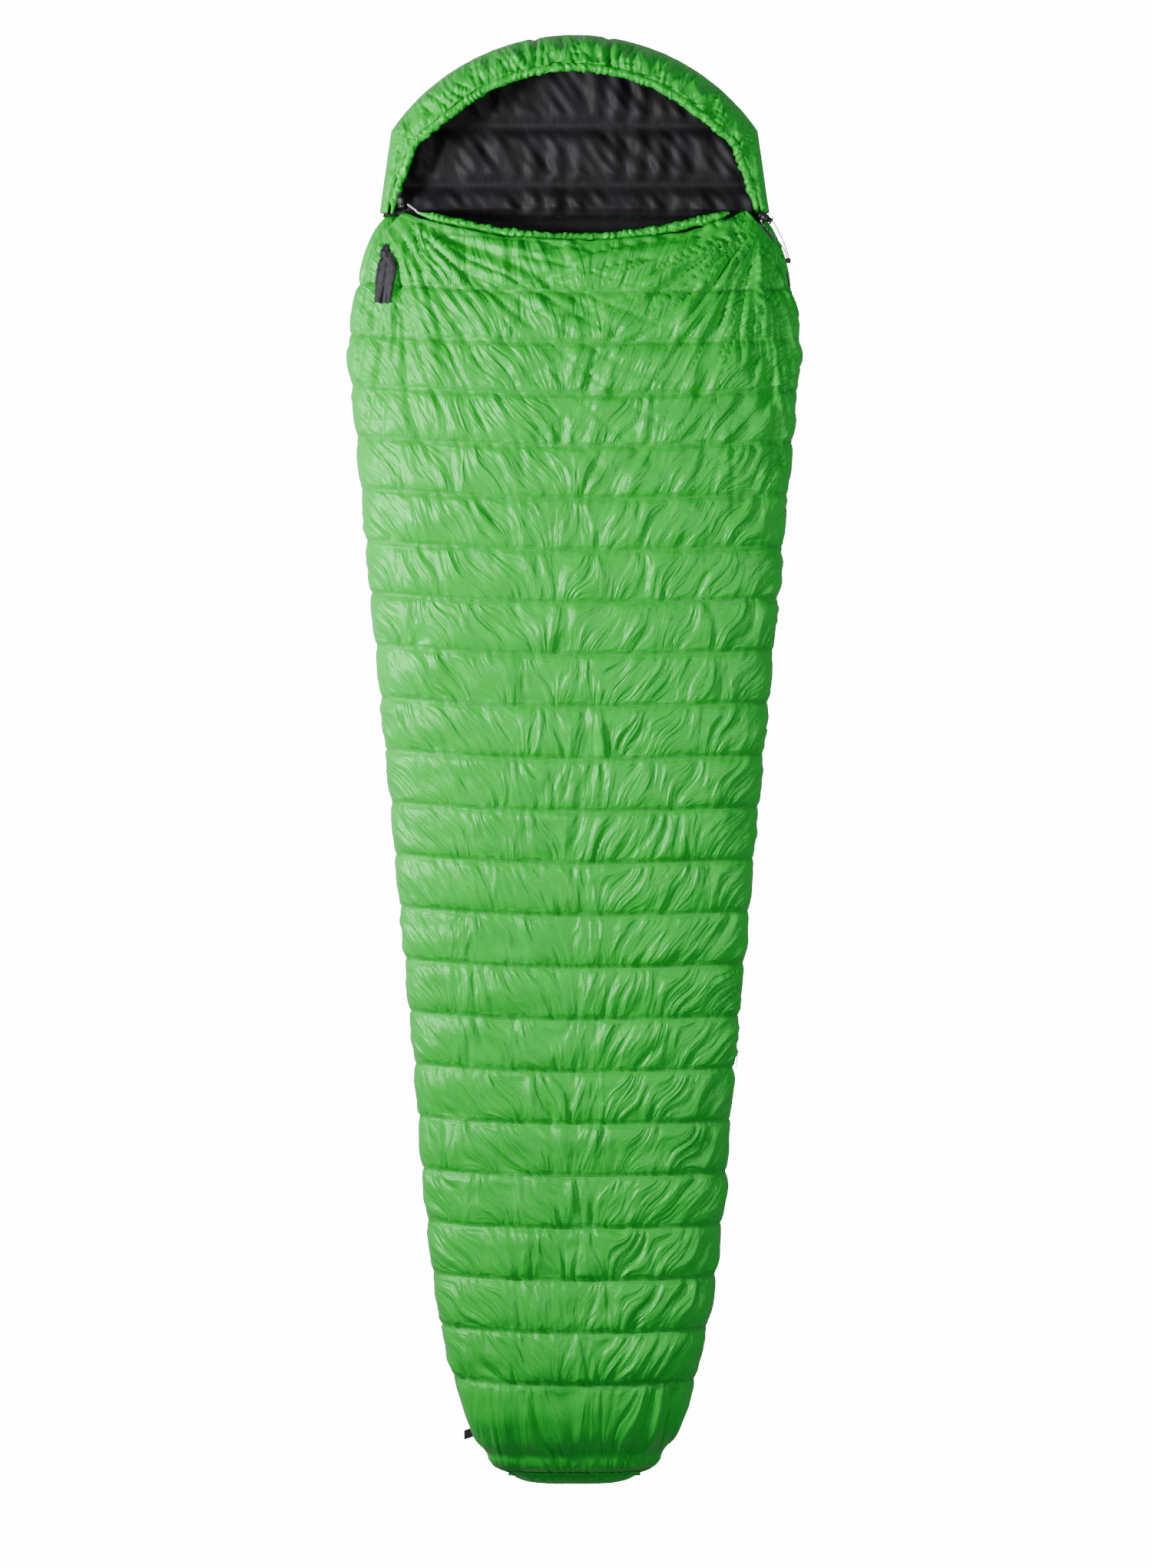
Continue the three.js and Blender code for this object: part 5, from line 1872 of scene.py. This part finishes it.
# ---------------------------------------- trim
@dataclass
class Trim:
    """Small sewn-on pieces: shoulder patch, foot label and the draft tube behind the zip.

    Attributes:
        patch_v: First and last row that the patch covers.
        label: Upper and lower end of the label, its reach and its thickness.
        draft: The draft tube's distance in from the zip, its radius and its height.
    """

    form: BagForm
    front: FrontQuilt
    patch_v: tuple[float, float] = (742.0, 645.0)
    label: tuple[float, float, float, float] = (-966.0, -980.0, 12.0, 0.8)
    draft: tuple[float, float, float] = (45.0, 10.0, 71.0)

    def build(self) -> None:
        """Makes all of it."""
        self.build_patch()
        self.build_label()
        self.build_draft_tube()
        LOG.info("trim: patch, label, draft tube")

    def build_patch(self) -> None:
        """The grey flap sewn to the left of the front beside the collar."""
        surface, rows = self.front.surface, self.front.rows
        normal = normals_of(surface)
        normal *= np.sign(normal[len(rows) // 2, surface.shape[1] // 2, 2])
        t = np.linspace(0.0, 1.0, 33)
        want = mix(self.patch_v[0], self.patch_v[1], t)
        row = np.interp(-want, -rows, np.arange(len(rows)))
        left = np.interp(t, (0.0, 0.15, 0.5, 1.0), (-274.0, -279.0, -285.0, -289.0))
        right = np.interp(t, (0.0, 0.15, 0.33, 0.6, 1.0), (-271.0, -263.0, -256.0, -259.0, -265.0))
        reach = left[:, None] + (right - left)[:, None] * np.linspace(0.0, 1.0, 17)[None]
        places = surface[np.round(row).astype(int), :, 0]
        first = self.front.columns // 20
        columns = np.arange(first, self.front.columns // 2)
        rising = [np.maximum.accumulate(b[columns]) for b in places]
        col = np.stack([np.interp(a, b, columns) for a, b in zip(reach, rising)])
        line = np.broadcast_to(row[:, None], col.shape)

        def sampled(grid: Array) -> Array:
            """Grid values at the patch's fractional rows and columns."""
            i, j = np.floor(line).astype(int), np.floor(col).astype(int)
            a, b = (line - i)[..., None], (col - j)[..., None]
            low = grid[i, j] * (1 - b) + grid[i, j + 1] * b
            high = grid[i + 1, j] * (1 - b) + grid[i + 1, j + 1] * b
            return low * (1 - a) + high * a

        face, out = sampled(surface), sampled(normal)
        hang = np.polyfit(t, face[..., 2], 2)
        face[..., 2] = np.maximum(face[..., 2], sum(np.outer(t ** (2 - k), hang[k]) for k in range(3)) + 1.0)
        lower, upper = face + out * 0.5, face + out * 2.1
        patch = pad_object("shoulder_flap", upper, lower, cloth_uv(upper))
        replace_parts(PATCH_CLOTH.dress(patch), "shoulder_patch")
        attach(patch, "bag")
        edge = np.concatenate([upper[1:, 1], upper[-2, 1:-1], upper[:0:-1, -2]])
        fine_run = StitchRun(pitch=3.2, length=2.2, thick=0.5)
        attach(fine_run.sew("patch_stitches", [edge + 0.2], TAPE_THREAD), "bag")

    def build_label(self) -> None:
        """A folded black loop in the side seam at the foot."""
        top, bottom, out, thick = self.label
        t = np.linspace(0, 1, 13)
        side = float(self.form.half_width(np.asarray((top + bottom) / 2)))
        faces = []
        for lift in (1.0, -1.0):
            bow = lift * (thick * 0.9 * np.sin(np.clip(t * 1.3, 0, 1) * np.pi) * 1.3 + 0.55)
            x, z = -side + 6.0 - (out + 5.5) * t, 67.6 + bow * (1 - t**6)
            places = np.linspace(top, bottom, 9)
            faces.append(np.stack([np.stack([x, y - 6.0 * t, z], axis=1) for y in places]))
        tag = pad_object("foot_tag", faces[0], faces[1], cloth_uv(faces[0]))
        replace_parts(TAPE.dress(tag), "foot_label")
        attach(tag, "bag")

    def build_draft_tube(self) -> None:
        """The down roll behind the zip, sewn across here and there."""
        inset, radius, z = self.draft
        y = np.linspace(740.0, self.form.zip_end, 900)
        path = even_path(np.stack([self.form.half_width(y) - inset, y, np.full(900, z)], axis=1), 420)
        step = path_length(path) / (len(path) - 1)
        along = np.arange(len(path))[:, None] * step
        turn = np.linspace(0, 2 * np.pi, 20, endpoint=False)[None]
        relief = 1.5 * (np.abs(np.sin(along * np.pi / 75.0)) ** 0.5 - 0.8)
        relief = relief + 0.8 * Ripple(95, 30.0).at(along, turn * 10)
        roll = tube_object("draft_roll", path, radius, 20, relief)
        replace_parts(LINING.dress(roll), "draft_tube")
        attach(roll, "bag")


# ---------------------------------------- studio
@dataclass(frozen=True)
class Studio:
    """Camera straight above, pale floor and soft lights."""

    view: tuple[float, float] = (1.6658, 2.2666)
    centre: tuple[float, float] = (0.0022, -0.0344)
    height: float = 9.0
    focus: float = 0.10

    def build(self) -> None:
        """Makes the camera, the floor and the lights."""
        camera = bpy.data.objects.new("camera", bpy.data.cameras.new("camera"))
        bpy.context.scene.collection.objects.link(camera)
        camera.location = (*self.centre, self.height)
        camera.data.sensor_width = 36.0
        camera.data.lens = 18.0 * (self.height - self.focus) / (self.view[1] / 2)
        camera.data.clip_end = 60.0
        bpy.context.scene.camera = camera
        self.build_floor()
        self.area_light("key", (-1.5, 0.5, 1.15), 0.45, 78.0)
        self.area_light("fill", (1.3, 0.35, 2.3), 1.4, 30.0)
        self.area_light("foot_fill", (-1.2, -1.6, 2.2), 1.2, 4.0)
        world = bpy.data.worlds.new("studio")
        world.use_nodes = True
        world.node_tree.nodes["Background"].inputs["Color"].default_value = (1.0, 1.0, 1.0, 1.0)
        world.node_tree.nodes["Background"].inputs["Strength"].default_value = 0.2
        bpy.context.scene.world = world

    def area_light(self, name: str, at: tuple[float, float, float], size: float, power: float) -> None:
        """One soft light that points at the bag."""
        light = bpy.data.objects.new(name, bpy.data.lights.new(name, "AREA"))
        bpy.context.scene.collection.objects.link(light)
        light.data.size, light.data.energy = size, power
        light.location = at
        light.rotation_mode = "QUATERNION"
        light.rotation_quaternion = (Vector((0.0, 0.1, 0.1)) - Vector(at)).to_track_quat("-Z", "Y")

    def build_floor(self) -> None:
        """A wide pale floor."""
        half = 30000.0
        corners = np.array([(-half, -half, 0.0), (half, -half, 0.0), (half, half, 0.0), (-half, half, 0.0)])
        floor = make_object("floor", corners, [(0, 1, 2, 3)])
        made = bpy.data.materials.new("pale_floor")
        made.use_nodes = True
        shader = made.node_tree.nodes["Principled BSDF"]
        shader.inputs["Base Color"].default_value = (0.45, 0.45, 0.45, 1.0)
        shader.inputs["Roughness"].default_value = 0.9
        shader.inputs["Emission Color"].default_value = (1.0, 1.0, 1.0, 1.0)
        graph = Graph(made.node_tree)
        seen = graph.make("ShaderNodeLightPath", out="Is Camera Ray")
        graph.feed(shader.inputs["Emission Strength"], seen * 14.0)
        floor.data.materials.append(made)


def main() -> None:
    """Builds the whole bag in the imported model's frame."""
    logging.basicConfig(level=logging.INFO, format="%(name)s: %(message)s")
    form = BagForm()
    Studio().build()
    PullStrands().build()
    front, back = FrontQuilt(form), BackQuilt(form)
    front.build()
    back.build()
    FootEnd(form, front, back).build()
    Hood(form).build()
    Collar(form).build()
    SideZip(form, back).build()
    CordLocks().build()
    Trim(form, front).build()


if __name__ == "__main__":
    main()
